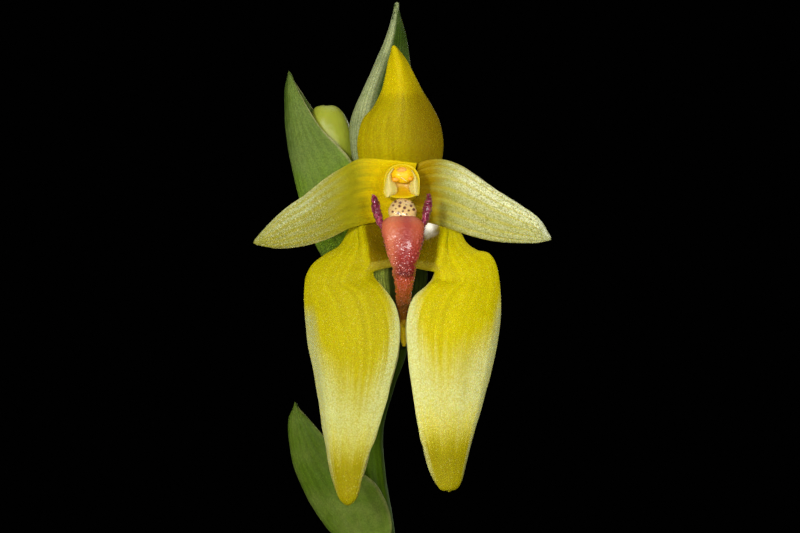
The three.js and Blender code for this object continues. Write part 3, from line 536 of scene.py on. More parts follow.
class Graph:
    """A node tree with short calls for the nodes that the finishes use."""

    def __init__(self, tree: Tree) -> None:
        """Works on the given tree."""
        self.tree = tree

    def add(
        self, kind: str, inputs: dict[str | int, Source] | None = None, **settings: object
    ) -> Node:
        """Adds a node.

        Args:
            kind: The node's type name.
            inputs: What feeds its sockets: a socket of another node, a number or a colour.
            **settings: The node's own settings.

        Returns:
            The node.
        """
        node = self.tree.nodes.new(kind)
        for name, value in settings.items():
            setattr(node, name, value)
        for name, source in (inputs or {}).items():
            self.feed(node.inputs[name], source)
        return node

    def feed(self, socket: Socket, source: Source) -> None:
        """Links a socket, or sets its own value.

        Args:
            socket: The socket that is fed.
            source: A socket of another node, a number or a colour.
        """
        if isinstance(source, Socket):
            self.tree.links.new(source, socket)
        elif isinstance(source, tuple) and len(source) == 3 and socket.type == "RGBA":
            socket.default_value = (*source, 1.0)
        else:
            socket.default_value = source

    def math(self, operation: str, first: Source, second: Source = 0.5) -> Socket:
        """Works out one operation on two numbers."""
        return self.add("ShaderNodeMath", {0: first, 1: second}, operation=operation).outputs[0]

    def both(self, *masks: Source) -> Socket:
        """Multiplies masks."""
        result = masks[0]
        for mask in masks[1:]:
            result = self.math("MULTIPLY", result, mask)
        return result

    def sum(self, *values: Source) -> Socket:
        """Adds numbers."""
        result = values[0]
        for value in values[1:]:
            result = self.math("ADD", result, value)
        return result

    def span(
        self, value: Source, low: float, high: float, start: float = 0.0, end: float = 1.0
    ) -> Socket:
        """Maps a number smoothly from low..high to start..end, and holds it outside."""
        inputs = {"Value": value, "From Min": low, "From Max": high, "To Min": start, "To Max": end}
        return self.add("ShaderNodeMapRange", inputs, interpolation_type="SMOOTHSTEP").outputs["Result"]

    def swing(self, value: Source, size: Source) -> Socket:
        """Turns a noise from 0 to 1 into one about 0 of the given size."""
        return self.math("MULTIPLY", self.math("SUBTRACT", value, 0.5), size)

    def mix(self, share: Source, first: Source, second: Source) -> Socket:
        """Mixes two colours.

        Args:
            share: The share of the second colour.
            first: The first colour.
            second: The second colour.

        Returns:
            The mixed colour.
        """
        node = self.add("ShaderNodeMix", data_type="RGBA")
        self.feed(node.inputs[0], share)
        self.feed(node.inputs[6], first)
        self.feed(node.inputs[7], second)
        return node.outputs[2]

    def noise(
        self, place: Source, scale: Source, detail: float, roughness: float = 0.5, bend: float = 0.0
    ) -> Socket:
        """Gives cloudy noise from 0 to 1.

        Args:
            place: Where it is read.
            scale: How many clouds lie in a unit.
            detail: How many finer layers it has.
            roughness: How strong they are.
            bend: How far it is distorted.

        Returns:
            The noise.
        """
        inputs = {
            "Vector": place, "Scale": scale, "Detail": detail, "Roughness": roughness, "Distortion": bend,
        }
        return self.add("ShaderNodeTexNoise", inputs).outputs["Fac"]

    def cells(self, place: Source, scale: Source) -> Node:
        """Adds a cell pattern."""
        return self.add("ShaderNodeTexVoronoi", {"Vector": place, "Scale": scale})

    def stretched(self, place: Source, factors: Colour) -> Socket:
        """Scales a place along its axes.

        Args:
            place: The place.
            factors: The factors along x, y and z.

        Returns:
            The scaled place.
        """
        node = self.add("ShaderNodeMapping", {"Vector": place})
        node.inputs["Scale"].default_value = factors
        return node.outputs["Vector"]

    def object_place(self) -> Socket:
        """Gives the place on the object, in metres."""
        return self.add("ShaderNodeTexCoord").outputs["Object"]

    def uv_place(self) -> Socket:
        """Gives the place on the piece's own UV map."""
        return self.add("ShaderNodeUVMap", uv_map="UVMap").outputs["UV"]

    def mask(self, name: str) -> Socket:
        """Reads a named mask of the mesh."""
        return self.add("ShaderNodeAttribute", attribute_name=name).outputs["Fac"]

    def parts(self, vector: Source) -> tuple[Socket, ...]:
        """Splits a vector into x, y and z."""
        return tuple(self.add("ShaderNodeSeparateXYZ", {0: vector}).outputs)

    def use(self, group: Tree, inputs: dict[str, Source]) -> Node:
        """Places a shared group with its own values.

        Args:
            group: The shared group.
            inputs: What feeds its inputs.

        Returns:
            The group's node.
        """
        node = self.add("ShaderNodeGroup")
        node.node_tree = group
        for name, source in inputs.items():
            self.feed(node.inputs[name], source)
        return node


def new_group(
    name: str, inputs: dict[str, tuple[str, object]], outputs: dict[str, str]
) -> tuple[Tree, Graph, bpy.types.NodeOutputs, bpy.types.NodeInputs]:
    """Starts a shared shader group.

    Args:
        name: The group's name.
        inputs: For each input its socket type and its first value, or None for a vector.
        outputs: For each output its socket type.

    Returns:
        The group, its graph, the sockets that it is given and those that it fills.
    """
    group = bpy.data.node_groups.new(name, "ShaderNodeTree")
    for socket, (kind, value) in inputs.items():
        made = group.interface.new_socket(socket, in_out="INPUT", socket_type=kind)
        if value is not None:
            made.default_value = value
    for socket, kind in outputs.items():
        group.interface.new_socket(socket, in_out="OUTPUT", socket_type=kind)
    graph = Graph(group)
    return group, graph, graph.add("NodeGroupInput").outputs, graph.add("NodeGroupOutput").inputs


FLOAT = "NodeSocketFloat"
VECTOR = "NodeSocketVector"
COLOUR = "NodeSocketColor"


class SharedEffects:
    """The effects that several finishes use, each a shader group that is built once."""

    def __init__(self) -> None:
        """Builds every group."""
        self.grain = self.build_grain()
        self.veins = self.build_veins()
        self.margin = self.build_margin()
        self.mottle = self.build_mottle()
        self.specks = self.build_specks()

    def build_grain(self) -> Tree:
        """Builds the fine cell grain of petals and sepals: bright domes of cells with dark joints.

        Returns:
            A group with the value Grain, near 1 on a cell's top, and Sparkle, 1 on a few shining cells,
            which the finishes mark with painted glints.
        """
        inputs = {"Place": (VECTOR, None), "Scale": (FLOAT, 5000.0)}
        group, graph, given, result = new_group("cell grain", inputs, {"Grain": FLOAT, "Sparkle": FLOAT})
        cells = graph.cells(given["Place"], given["Scale"])
        domes = graph.span(cells.outputs["Distance"], 0.1, 0.75, 1.0, 0.0)
        red, green, _ = graph.parts(cells.outputs["Color"])
        graph.feed(result["Grain"], graph.sum(graph.both(domes, 0.6), graph.both(red, 0.4)))
        graph.feed(result["Sparkle"], graph.both(graph.span(green, 0.78, 0.95), domes))
        return group

    def build_veins(self) -> Tree:
        """Builds long veins: soft lines at even steps across a blade, which waver with a slow noise.

        Returns:
            A group with the value Vein, 1 in the middle of a vein.
        """
        inputs = {
            "UV": (VECTOR, None), "Count": (FLOAT, 9.0), "Waver": (FLOAT, 0.3), "Narrowness": (FLOAT, 0.6),
        }
        group, graph, given, result = new_group("long veins", inputs, {"Vein": FLOAT})
        across, _, _ = graph.parts(given["UV"])
        wander = graph.noise(graph.stretched(given["UV"], (3.0, 2.0, 1.0)), 1.6, 2.0)
        lines = graph.sum(graph.both(across, given["Count"]), graph.swing(wander, given["Waver"]))
        wave = graph.math("COSINE", graph.both(lines, 2 * math.pi))
        wave = graph.sum(graph.both(wave, 0.5), 0.5)
        graph.feed(result["Vein"], graph.span(wave, given["Narrowness"], 1.0))
        return group

    def build_margin(self) -> Tree:
        """Builds the band along both long margins of a blade, by the place across it.

        Returns:
            A group with the value Margin, 1 at the margins.
        """
        inputs = {"UV": (VECTOR, None), "Width": (FLOAT, 0.08), "Ragged": (FLOAT, 0.05)}
        group, graph, given, result = new_group("margin band", inputs, {"Margin": FLOAT})
        across, _, _ = graph.parts(given["UV"])
        away = graph.math("ABSOLUTE", graph.math("SUBTRACT", across, 0.5))
        cloud = graph.swing(graph.noise(given["UV"], 14.0, 3.0), given["Ragged"])
        rough = graph.sum(graph.math("SUBTRACT", 0.5, away), cloud)
        fade = {"Value": rough, "From Min": 0.0, "From Max": given["Width"], "To Min": 1.0, "To Max": 0.0}
        graph.feed(result["Margin"], graph.add("ShaderNodeMapRange", fade).outputs["Result"])
        return group

    def build_mottle(self) -> Tree:
        """Builds the large and small blotches that vary a colour.

        Returns:
            A group with the colour Shade, the base darkened and lightened by two noises.
        """
        inputs = {
            "Place": (VECTOR, None), "Base": (COLOUR, (0.5, 0.5, 0.5, 1)), "Scale": (FLOAT, 60.0),
            "Depth": (FLOAT, 0.3),
        }
        group, graph, given, result = new_group("mottle", inputs, {"Shade": COLOUR})
        large = graph.noise(given["Place"], given["Scale"], 3.0, 0.6)
        small = graph.noise(given["Place"], graph.both(given["Scale"], 6.0), 2.0, 0.6)
        both = graph.sum(graph.both(large, 0.65), graph.both(small, 0.35))
        shade = {
            "Color": given["Base"], "Value": graph.sum(graph.swing(both, given["Depth"]), 1.0),
            "Hue": graph.sum(graph.swing(small, 0.03), 0.5),
        }
        graph.feed(result["Shade"], graph.add("ShaderNodeHueSaturation", shade).outputs["Color"])
        return group

    def build_specks(self) -> Tree:
        """Builds scattered round specks, such as dust, lime and spots.

        Returns:
            A group with the value Speck, 1 on a speck.
        """
        inputs = {
            "Place": (VECTOR, None), "Scale": (FLOAT, 400.0), "Share": (FLOAT, 0.2), "Size": (FLOAT, 0.3),
        }
        group, graph, given, result = new_group("specks", inputs, {"Speck": FLOAT})
        cells = graph.cells(given["Place"], given["Scale"])
        red, _, _ = graph.parts(cells.outputs["Color"])
        chosen = graph.math("LESS_THAN", red, given["Share"])
        near = graph.math("SUBTRACT", given["Size"], cells.outputs["Distance"])
        graph.feed(result["Speck"], graph.both(chosen, graph.span(near, 0.0, 0.12)))
        return group


class Surface(Enum):
    """How a finish shines: its roughness, the weight of its clear wet film and the strength of its shine."""

    WET = (0.24, 0.35, 0.4)
    MOIST = (0.36, 0.12, 0.35)
    WAXY = (0.4, 0.0, 0.3)
    SATIN = (0.55, 0.0, 0.07)
    DRY = (0.85, 0.0, 0.3)

    @property
    def roughness(self) -> float:
        """The roughness of the shine."""
        return self.value[0]


class Finish:
    """A named material in the making: its graph, its shader and the usual places on the surface."""

    def __init__(self, name: str, effects: SharedEffects, surface: Surface, flesh: float = 0.0) -> None:
        """Starts the material.

        Args:
            name: The material's name.
            effects: The shared groups.
            surface: How it shines.
            flesh: How much of the light goes through its flesh.
        """
        self.material = bpy.data.materials.new(name)
        self.material.use_nodes = True
        self.graph = Graph(self.material.node_tree)
        self.effects = effects
        self.shader = self.material.node_tree.nodes["Principled BSDF"]
        roughness, film, strength = surface.value
        settings = {
            "Roughness": roughness, "Coat Weight": film, "Coat Roughness": 0.08,
            "Specular IOR Level": strength,
        }
        if flesh > 0:
            settings |= {
                "Subsurface Weight": flesh, "Subsurface Radius": (1.0, 0.7, 0.25),
                "Subsurface Scale": 1.2 * MM,
            }
        for socket, value in settings.items():
            self.shader.inputs[socket].default_value = value
        self.base: Source = (0.5, 0.5, 0.5)
        self.place = self.graph.object_place()
        self.uv = self.graph.uv_place()
        self.across, self.along, _ = self.graph.parts(self.uv)

    def grain(self, pitch: float) -> Node:
        """Places the cell grain, with cells of the given pitch in millimetres."""
        return self.graph.use(self.effects.grain, {"Place": self.place, "Scale": 1 / (pitch * MM)})

    def veins(self, count: float, waver: float, narrowness: float) -> Socket:
        """Places long veins."""
        inputs = {"UV": self.uv, "Count": count, "Waver": waver, "Narrowness": narrowness}
        return self.graph.use(self.effects.veins, inputs).outputs["Vein"]

    def margin(self, width: float, ragged: float) -> Socket:
        """Places the band along the margins."""
        inputs = {"UV": self.uv, "Width": width, "Ragged": ragged}
        return self.graph.use(self.effects.margin, inputs).outputs["Margin"]

    def lay(self, colour: Source, *shares: Source) -> None:
        """Lays a colour over the finish so far, by the product of the shares."""
        self.base = self.graph.mix(self.graph.both(*shares), self.base, colour)

    def mottle(self, pitch: float, depth: float) -> None:
        """Lays blotches of the given pitch in millimetres over the finish so far."""
        inputs = {"Place": self.place, "Base": self.base, "Scale": 1 / (pitch * MM), "Depth": depth}
        self.base = self.graph.use(self.effects.mottle, inputs).outputs["Shade"]

    def specks(self, pitch: float, share: float, size: float) -> Socket:
        """Places specks, one cell of the given pitch in millimetres holding one at most."""
        inputs = {"Place": self.place, "Scale": 1 / (pitch * MM), "Share": share, "Size": size}
        return self.graph.use(self.effects.specks, inputs).outputs["Speck"]

    def feed(self, socket: str, source: Source) -> None:
        """Feeds one of the shader's sockets."""
        self.graph.feed(self.shader.inputs[socket], source)

    def relief(self, height: Source, depth: float) -> None:
        """Adds a relief of the given depth in millimetres on top of any earlier one.

        Args:
            height: The relief's height, from 0 to 1.
            depth: Its depth, below 0 where it sinks in.
        """
        bump = self.graph.add("ShaderNodeBump", {"Height": height, "Strength": 1.0, "Distance": depth * MM})
        normal = self.shader.inputs["Normal"]
        if normal.is_linked:
            self.graph.feed(bump.inputs["Normal"], normal.links[0].from_socket)
        self.feed("Normal", bump.outputs["Normal"])

    def done(self) -> Material:
        """Paints the surface with the colours laid so far and gives the material."""
        self.feed("Base Color", self.base)
        return self.material


# Finishes


@dataclass(frozen=True)
class SepalFinish:
    """Fleshy yellow with a fine grain whose few shining cells get painted glints, and pale silvery zones on
    the lateral sepals.

    The pale zone lies between two shares of the length, from pale_start to pale_end, and breaks up into long
    streaks at both ends. Pale bands run down the outer and the inner margin. Light and shade are painted in
    too: painted shade down one side of the back sepal and in the cup behind the lip, a painted lit band
    along the cup's lower fold, and a glowing painted highlight high in the right wall of the cup.
    """

    name: str
    yellow: Colour = shown(192, 180, 0)
    deep: Colour = shown(172, 160, 0)
    pale: Colour = shown(196, 200, 130)
    silver: Colour = shown(166, 168, 108)
    tip: Colour = shown(136, 126, 0)
    pale_start: float = 2.0
    pale_end: float = 3.0
    outer_band: float = 0.0
    inner_band: float = 0.0
    # Share of painted shade that darkens the cup lining behind the lip.
    inside: float = 0.0
    rim: float = 0.4
    sparkle: float = 0.1
    # Share of painted shade laid down the back sepal's right side.
    painted_shade_side: float = 0.0
    # Colour of the painted highlight high in the right wall of the cup.
    glint: Colour = shown(250, 246, 232)

    def material(self, effects: SharedEffects) -> Material:
        """Builds the material."""
        finish = Finish(self.name, effects, Surface.SATIN, flesh=0.3)
        graph = finish.graph
        grain = finish.grain(0.24)
        fine, sparkle = grain.outputs["Grain"], grain.outputs["Sparkle"]
        streaks = graph.noise(graph.stretched(finish.uv, (15.0, 1.6, 1.0)), 1.0, 4.0, 0.6, 0.4)
        reach = graph.sum(finish.along, graph.swing(streaks, 0.26))
        off_middle = graph.math("ABSOLUTE", graph.math("SUBTRACT", finish.across, 0.48))
        early = graph.sum(reach, graph.math("POWER", off_middle, 2.0))
        calm = graph.sum(finish.along, graph.swing(streaks, 0.1))
        rises = graph.span(early, self.pale_start - 0.07, self.pale_start + 0.09)
        falls = graph.span(calm, self.pale_end - 0.03, self.pale_end + 0.1, 1.0, 0.0)
        zone = graph.both(rises, falls, 0.9)
        ragged = graph.sum(finish.across, graph.swing(streaks, 0.22))
        lower = graph.span(finish.along, 0.4, 0.47)
        lower = graph.both(lower, graph.span(finish.along, 0.78, 0.9, 1.0, 0.0))
        outer = graph.span(ragged, self.outer_band * 0.4, self.outer_band + 0.02, 1.0, 0.0)
        inner = graph.span(ragged, 1 - self.inner_band, 1 - self.inner_band * 0.1)
        inner = graph.both(inner, graph.span(finish.along, 0.44, 0.56, 0.3, 1.0))
        finish.base = graph.mix(graph.span(streaks, 0.3, 0.75), self.deep, self.yellow)
        finish.lay(self.tip, graph.span(calm, self.pale_end + 0.02, self.pale_end + 0.12, 0.0, 0.9))
        finish.lay(self.pale, zone, graph.span(fine, 0.1, 0.5, 0.6, 1.0))
        grainy = graph.span(fine, 0.0, 0.55, 0.3, 0.95)
        if self.outer_band > 0:
            finish.lay(self.silver, outer, lower, grainy)
        if self.inner_band > 0:
            finish.lay(self.pale, inner, lower, grainy, 0.7)
        rim = graph.both(
            finish.margin(0.022, 0.01), graph.span(finish.along, 0.3, 0.5, 0.0, self.rim),
            graph.span(finish.along, 0.82, 0.9, 1.0, 0.1),
        )
        finish.lay(shown(222, 214, 130), rim)
        # Painted shade: the back sepal's right side is darkened in its colour, as if turned from the light.
        if self.painted_shade_side > 0:
            low = graph.span(finish.along, 0.35, 0.85, 1.0, 0.3)
            finish.lay(shown(124, 100, 0), graph.span(ragged, 0.42, 0.8), low, self.painted_shade_side)
        # Painted shade darkens the cup lining, and a painted lit band lies along the cup's lower fold.
        cup = graph.both(graph.mask("cup"), self.inside)
        finish.lay(shown(128, 104, 0), cup)
        finish.lay(shown(186, 170, 50), cup, graph.mask("fold"), 0.7)
        # Painted highlight: the glint patch is painted near white.
        finish.lay(self.glint, graph.mask("glint"), graph.span(fine, 0.1, 0.6, 0.6, 1.0))
        finish.mottle(3.0, 0.22)
        finish.lay(shown(120, 104, 0), graph.span(fine, 0.15, 0.7, 0.16, 0.0))
        # Painted highlight: a few grain cells are painted near white as glints.
        finish.lay(shown(250, 244, 150), sparkle, self.sparkle)
        # The painted highlight also glows by emission, though the sepal is no lamp.
        finish.feed("Emission Color", graph.mix(graph.mask("glint"), (0.0, 0.0, 0.0), self.glint))
        finish.feed("Emission Strength", 0.85)
        finish.feed("Roughness", graph.span(sparkle, 0.0, 1.0, 0.58, 0.36))
        finish.relief(finish.veins(9.0, 0.5, 0.3), 0.006)
        finish.relief(fine, 0.03)
        return finish.done()


@dataclass(frozen=True)
class PetalFinish:
    """Thin and pale with a silvery grain over yellow parallel veins, and a yellow foot, with painted glints
    on a few grain cells.
    """

    name: str
    foot: Colour = shown(222, 194, 0)
    pale: Colour = shown(198, 206, 152)
    green: Colour = shown(144, 144, 20)
    vein: Colour = shown(160, 152, 16)
    silver_start: float = 0.3

    def material(self, effects: SharedEffects) -> Material:
        """Builds the material."""
        finish = Finish(self.name, effects, Surface.SATIN, flesh=0.3)
        graph = finish.graph
        grain = finish.grain(0.2)
        fine, sparkle = grain.outputs["Grain"], grain.outputs["Sparkle"]
        streaks = graph.noise(graph.stretched(finish.uv, (18.0, 2.5, 1.0)), 1.0, 4.0, 0.6, 0.3)
        reach = graph.sum(finish.along, graph.swing(streaks, 0.25))
        start = self.silver_start
        finish.base = graph.mix(graph.span(reach, 0.12, 0.3), self.foot, self.green)
        silver = graph.both(
            graph.span(reach, start - 0.05, start + 0.25), graph.span(fine, 0.0, 0.55, 0.45, 1.0)
        )
        upper = graph.span(finish.across, 0.25, 0.55, 1.0, 0.45)
        finish.lay(self.pale, silver, upper)
        veins = finish.veins(7.0, 0.5, 0.35)
        finish.lay(self.vein, veins, graph.span(finish.along, 0.1, 0.35, 0.1, 0.62))
        rim = graph.both(finish.margin(0.04, 0.02), graph.span(finish.along, 0.3, 0.5, 0.0, 0.5))
        finish.lay(shown(226, 224, 160), rim)
        finish.mottle(2.5, 0.3)
        # Painted highlight: a few grain cells in the silvery part are painted near white as glints.
        finish.lay(shown(252, 250, 210), sparkle, silver, 0.35)
        pits = graph.span(fine, 0.1, 0.42, 1.0, 0.0)
        finish.lay(shown(118, 116, 24), pits, graph.span(finish.along, 0.25, 0.5, 0.1, 0.4))
        finish.feed("Roughness", graph.span(sparkle, 0.0, 1.0, 0.58, 0.32))
        finish.relief(veins, -0.03)
        finish.relief(fine, 0.04)
        return finish.done()


@dataclass(frozen=True)
class GreenFinish:
    """A green blade or stem with fine long veins, a grey bloom and paler margins."""

    name: str
    green: Colour
    dark: Colour
    bloom: Colour
    margin: Colour
    vein_count: float = 17.0
    vein_depth: float = 0.05
    margin_width: float = 0.035
    bloom_share: float = 0.5
    blotch: float = 6.0
    surface: Surface = Surface.SATIN
    flesh: float = 0.15
    streak: float = 0.3
    foot: Colour | None = None
    near_side: Colour | None = None
    near_end: float = 0.42
    grain_depth: float = 0.015

    def material(self, effects: SharedEffects) -> Material:
        """Builds the material."""
        finish = Finish(self.name, effects, self.surface, self.flesh)
        graph = finish.graph
        veins = finish.veins(self.vein_count, 0.8, 0.2)
        finish.base = self.green
        # The near side takes another colour: a lighter tone on the bracts, and painted light on the bract
        # behind the flower.
        if self.near_side:
            far = graph.span(finish.across, self.near_end - 0.15, self.near_end)
            finish.base = graph.mix(far, self.near_side, finish.base)
        # The foot colour is partly painted light, the glow of light through a bract's lower part.
        if self.foot:
            finish.base = graph.mix(graph.span(finish.along, 0.3, 0.6), self.foot, finish.base)
        finish.lay(self.dark, veins, self.streak)
        cloud = graph.noise(finish.place, 1 / (self.blotch * MM), 4.0, 0.62)
        finish.lay(self.bloom, graph.span(cloud, 0.35, 0.72), self.bloom_share)
        finish.lay(self.margin, finish.margin(self.margin_width, 0.02), 0.7)
        finish.mottle(self.blotch / 2, 0.3)
        fine = finish.grain(0.26).outputs["Grain"]
        finish.lay(self.dark, graph.span(fine, 0.1, 0.6, 0.3, 0.0))
        rough = self.surface.roughness
        finish.feed("Roughness", graph.span(cloud, 0.3, 0.7, rough - 0.06, rough + 0.12))
        finish.relief(veins, -self.vein_depth)
        finish.relief(fine, self.grain_depth)
        return finish.done()


@dataclass(frozen=True)
class LipFinish:
    """Wet warty flesh: salmon and rose above, red at the crease, then orange down to an amber tip, with a
    band of painted shade below the crease and a painted lit left side.
    """

    name: str = "lip_flesh"

    def material(self, effects: SharedEffects) -> Material:
        """Builds the material. The mask "fall" runs from 0 at the lip's top ledge to 1 at its tip."""
        finish = Finish(self.name, effects, Surface.MOIST, flesh=0.2)
        graph = finish.graph
        fall = graph.mask("fall")
        warts = graph.mask("wart")
        cloud = graph.noise(finish.place, 1 / (1.1 * MM), 4.0, 0.6, 0.5)
        bent = graph.sum(fall, graph.swing(cloud, 0.1))
        ramp = graph.add("ShaderNodeValToRGB", {"Fac": bent})
        # The dark brown stops at 0.69 and 0.8 are painted shade, where the tongue hangs in the shadow
        # between the lateral sepals.
        stops = [
            (0.0, shown(194, 110, 72)), (0.08, shown(192, 94, 62)), (0.3, shown(160, 52, 40)),
            (0.4, shown(126, 31, 21)), (0.45, shown(92, 14, 8)), (0.5, shown(172, 66, 26)),
            (0.6, shown(140, 66, 10)), (0.69, shown(80, 42, 0)), (0.8, shown(110, 62, 0)),
            (0.87, shown(255, 212, 10)), (1.0, shown(255, 212, 10)),
        ]
        while len(ramp.color_ramp.elements) < len(stops):
            ramp.color_ramp.elements.new(0.5)
        for element, (place, colour) in zip(ramp.color_ramp.elements, stops):
            element.position = place
            element.color = (*colour, 1.0)
        finish.base = ramp.outputs["Color"]
        rose = graph.both(graph.mask("middle"), graph.span(fall, 0.3, 0.46, 0.6, 0.0))
        finish.lay(shown(152, 48, 54), rose)
        # Painted light: the tongue's left side is painted lighter, as lit.
        light = graph.both(graph.mask("left"), graph.span(fall, 0.4, 0.55, 0.7, 0.0))
        finish.lay(shown(214, 124, 84), light)
        finish.lay(shown(206, 96, 84), warts, graph.span(fall, 0.5, 0.7, 0.3, 0.0))
        finish.mottle(0.8, 0.35)
        wet = graph.span(fall, 0.1, 0.35, 0.2, 0.0)
        finish.feed("Roughness", graph.sum(graph.span(cloud, 0.35, 0.7, 0.18, 0.32), wet))
        coat = graph.both(graph.span(fall, 0.12, 0.3), graph.span(fall, 0.52, 0.62, 0.65, 0.1))
        finish.feed("Coat Weight", coat)
        finish.relief(graph.noise(finish.place, 1 / (0.35 * MM), 3.0), 0.06)
        return finish.done()


@dataclass(frozen=True)
class SpottedFinish:
    """Cream flesh with round maroon spots, on the lip's knee."""

    name: str = "lip_knee"

    def material(self, effects: SharedEffects) -> Material:
        """Builds the material."""
        finish = Finish(self.name, effects, Surface.WET, flesh=0.3)
        graph = finish.graph
        finish.base = shown(226, 192, 124)
        finish.mottle(0.7, 0.5)
        high = graph.span(graph.parts(finish.place)[2], 0.3707, 0.3722)
        finish.lay(shown(206, 152, 74), high, 0.35)
        finish.lay(shown(88, 20, 30), graph.mask("spot"), 0.92)
        finish.relief(graph.noise(finish.place, 1 / (0.5 * MM), 3.0), 0.06)
        return finish.done()


@dataclass(frozen=True)
class PlainFlesh:
    """Waxy flesh of one colour, which may shade into a second along a mask, with fine blotches."""

    name: str
    colour: Colour
    second: Colour | None = None
    mask: str = "tip"
    surface: Surface = Surface.WAXY
    flesh: float = 0.35
    pitch: float = 1.0
    depth: float = 0.35

    def material(self, effects: SharedEffects) -> Material:
        """Builds the material."""
        finish = Finish(self.name, effects, self.surface, self.flesh)
        graph = finish.graph
        finish.base = self.colour
        if self.second:
            finish.lay(self.second, graph.mask(self.mask))
        finish.mottle(self.pitch, self.depth)
        cloud = graph.noise(finish.place, 1 / (self.pitch * MM), 3.0)
        rough = self.surface.roughness
        finish.feed("Roughness", graph.span(cloud, 0.3, 0.7, max(rough - 0.1, 0.1), rough + 0.08))
        finish.relief(cloud, 0.05 * self.pitch)
        return finish.done()


@dataclass(frozen=True)
class ClayFinish:
    """Unglazed fired clay: fine sand, throwing lines, lime bloom on the rim and a damp dark foot."""

    name: str = "fired_clay"
    clay: Colour = shown(178, 98, 64)
    dark: Colour = shown(128, 66, 42)
    lime: Colour = shown(214, 196, 176)

    def material(self, effects: SharedEffects) -> Material:
        """Builds the material."""
        finish = Finish(self.name, effects, Surface.DRY)
        graph = finish.graph
        _, _, height = graph.parts(finish.place)
        cloud = graph.noise(finish.place, 22.0, 5.0, 0.62)
        fine = graph.noise(finish.place, 700.0, 3.0, 0.7)
        finish.base = self.clay
        finish.mottle(16.0, 0.42)
        damp = graph.both(graph.span(height, 0.004, 0.05, 1.0, 0.0), graph.span(cloud, 0.3, 0.65))
        finish.lay(self.dark, damp, 0.65)
        bloom = graph.both(graph.span(height, 0.05, 0.1), graph.span(cloud, 0.46, 0.66))
        finish.lay(self.lime, bloom, graph.span(fine, 0.35, 0.65), 0.6)
        finish.lay(self.dark, finish.specks(1.7, 0.25, 0.3), 0.6)
        finish.lay(self.lime, finish.specks(2.6, 0.16, 0.24), 0.5)
        moss = graph.both(graph.span(cloud, 0.56, 0.7), graph.span(height, 0.06, 0.02))
        finish.lay(shown(92, 96, 46), moss, 0.35)
        finish.feed("Roughness", graph.span(cloud, 0.3, 0.7, 0.78, 0.94))
        lines = graph.noise(graph.stretched(finish.place, (2.0, 2.0, 520.0)), 1.0, 3.0)
        finish.relief(lines, 0.25)
        finish.relief(fine, 0.16)
        return finish.done()


@dataclass(frozen=True)
class BarkFinish:
    """Rough brown bark in layers, each chip in its own shade by the mask "shade"."""

    name: str = "bark_chips"

    def material(self, effects: SharedEffects) -> Material:
        """Builds the material."""
        finish = Finish(self.name, effects, Surface.DRY)
        graph = finish.graph
        shade = graph.mask("shade")
        ridges = graph.noise(graph.stretched(finish.place, (260.0, 260.0, 900.0)), 1.0, 5.0, 0.7, 0.6)
        finish.base = graph.mix(shade, shown(74, 46, 30), shown(146, 94, 58))
        finish.lay(shown(38, 22, 14), graph.span(ridges, 0.38, 0.6, 0.75, 0.0))
        finish.lay(shown(176, 128, 86), graph.span(ridges, 0.6, 0.78), 0.4)
        finish.mottle(4.0, 0.5)
        dust = graph.both(graph.span(graph.noise(finish.place, 160.0, 4.0, 0.7), 0.56, 0.72), 0.5)
        finish.lay(shown(164, 146, 122), dust)
        finish.relief(ridges, 0.7)
        finish.relief(graph.noise(finish.place, 2400.0, 3.0), 0.1)
        return finish.done()


# The flower and its stalk


STALK_PATH = np.concatenate([
    [[17.5, -7, -278.1], [17, -4, -245], [14, 1, -200], [9, 6, -150], [3, 10.5, -100], [-1.6, 12.6, -66]],
    seen([
        [-2.8, 13, -50], [-4, 13, -41], [-4.4, 13, -34], [-2.4, 13, -27.5], [-0.5, 13, -21],
        [-1.6, 13.2, -16], [-3.4, 13, -11.5], [-2.8, 12.8, -5], [-2.4, 12.5, 0.6],
    ]),
])
STALK_RADII = np.array([2.4, 2.3, 2.2, 2.2, 2.1, 2.1, 2.05, 1.85, 2, 1.7, 1.9, 1.55, 1.75, 1.35, 1.1])


def with_tip(rows: Array, width_kept: float, ahead_by: float) -> Array:
    """Draws the last row in and adds one that is a point.

    Args:
        rows: The stations' points.
        width_kept: The share of the last row's width that is kept: near 1 for a round end.
        ahead_by: How far the point lies past the last row, in widths of that row.

    Returns:
        The stations with the tip.
    """
    middle, before = rows[-1].mean(axis=0), rows[-2].mean(axis=0)
    width = np.linalg.norm(rows[-1][-1] - rows[-1][0])
    ahead = unit(middle - before)
    drawn = middle + (rows[-1] - middle) * width_kept - ahead * width * 0.35
    point = np.broadcast_to(middle + ahead * width * ahead_by, rows[-1:].shape)
    return np.concatenate([rows[:-1], drawn[None], point])


def flat_arch(start: Array, end: Array, bulge: Array, shares: tuple[float, ...]) -> Array:
    """Places points between two rails and pushes each to the front by bulge times 4 s (1 - s).

    Args:
        start: The first rail's points, one a station.
        end: The second rail's points.
        bulge: How far each station is pushed out in its middle.
        shares: Where the points lie between the rails, each s from 0 to 1.

    Returns:
        The points, as stations by shares by 3.
    """
    share = np.array(shares)[None, :, None]
    between = start[:, None] + (end - start)[:, None] * share
    between[..., 1] -= bulge[:, None] * 4 * share[..., 0] * (1 - share[..., 0])
    return between


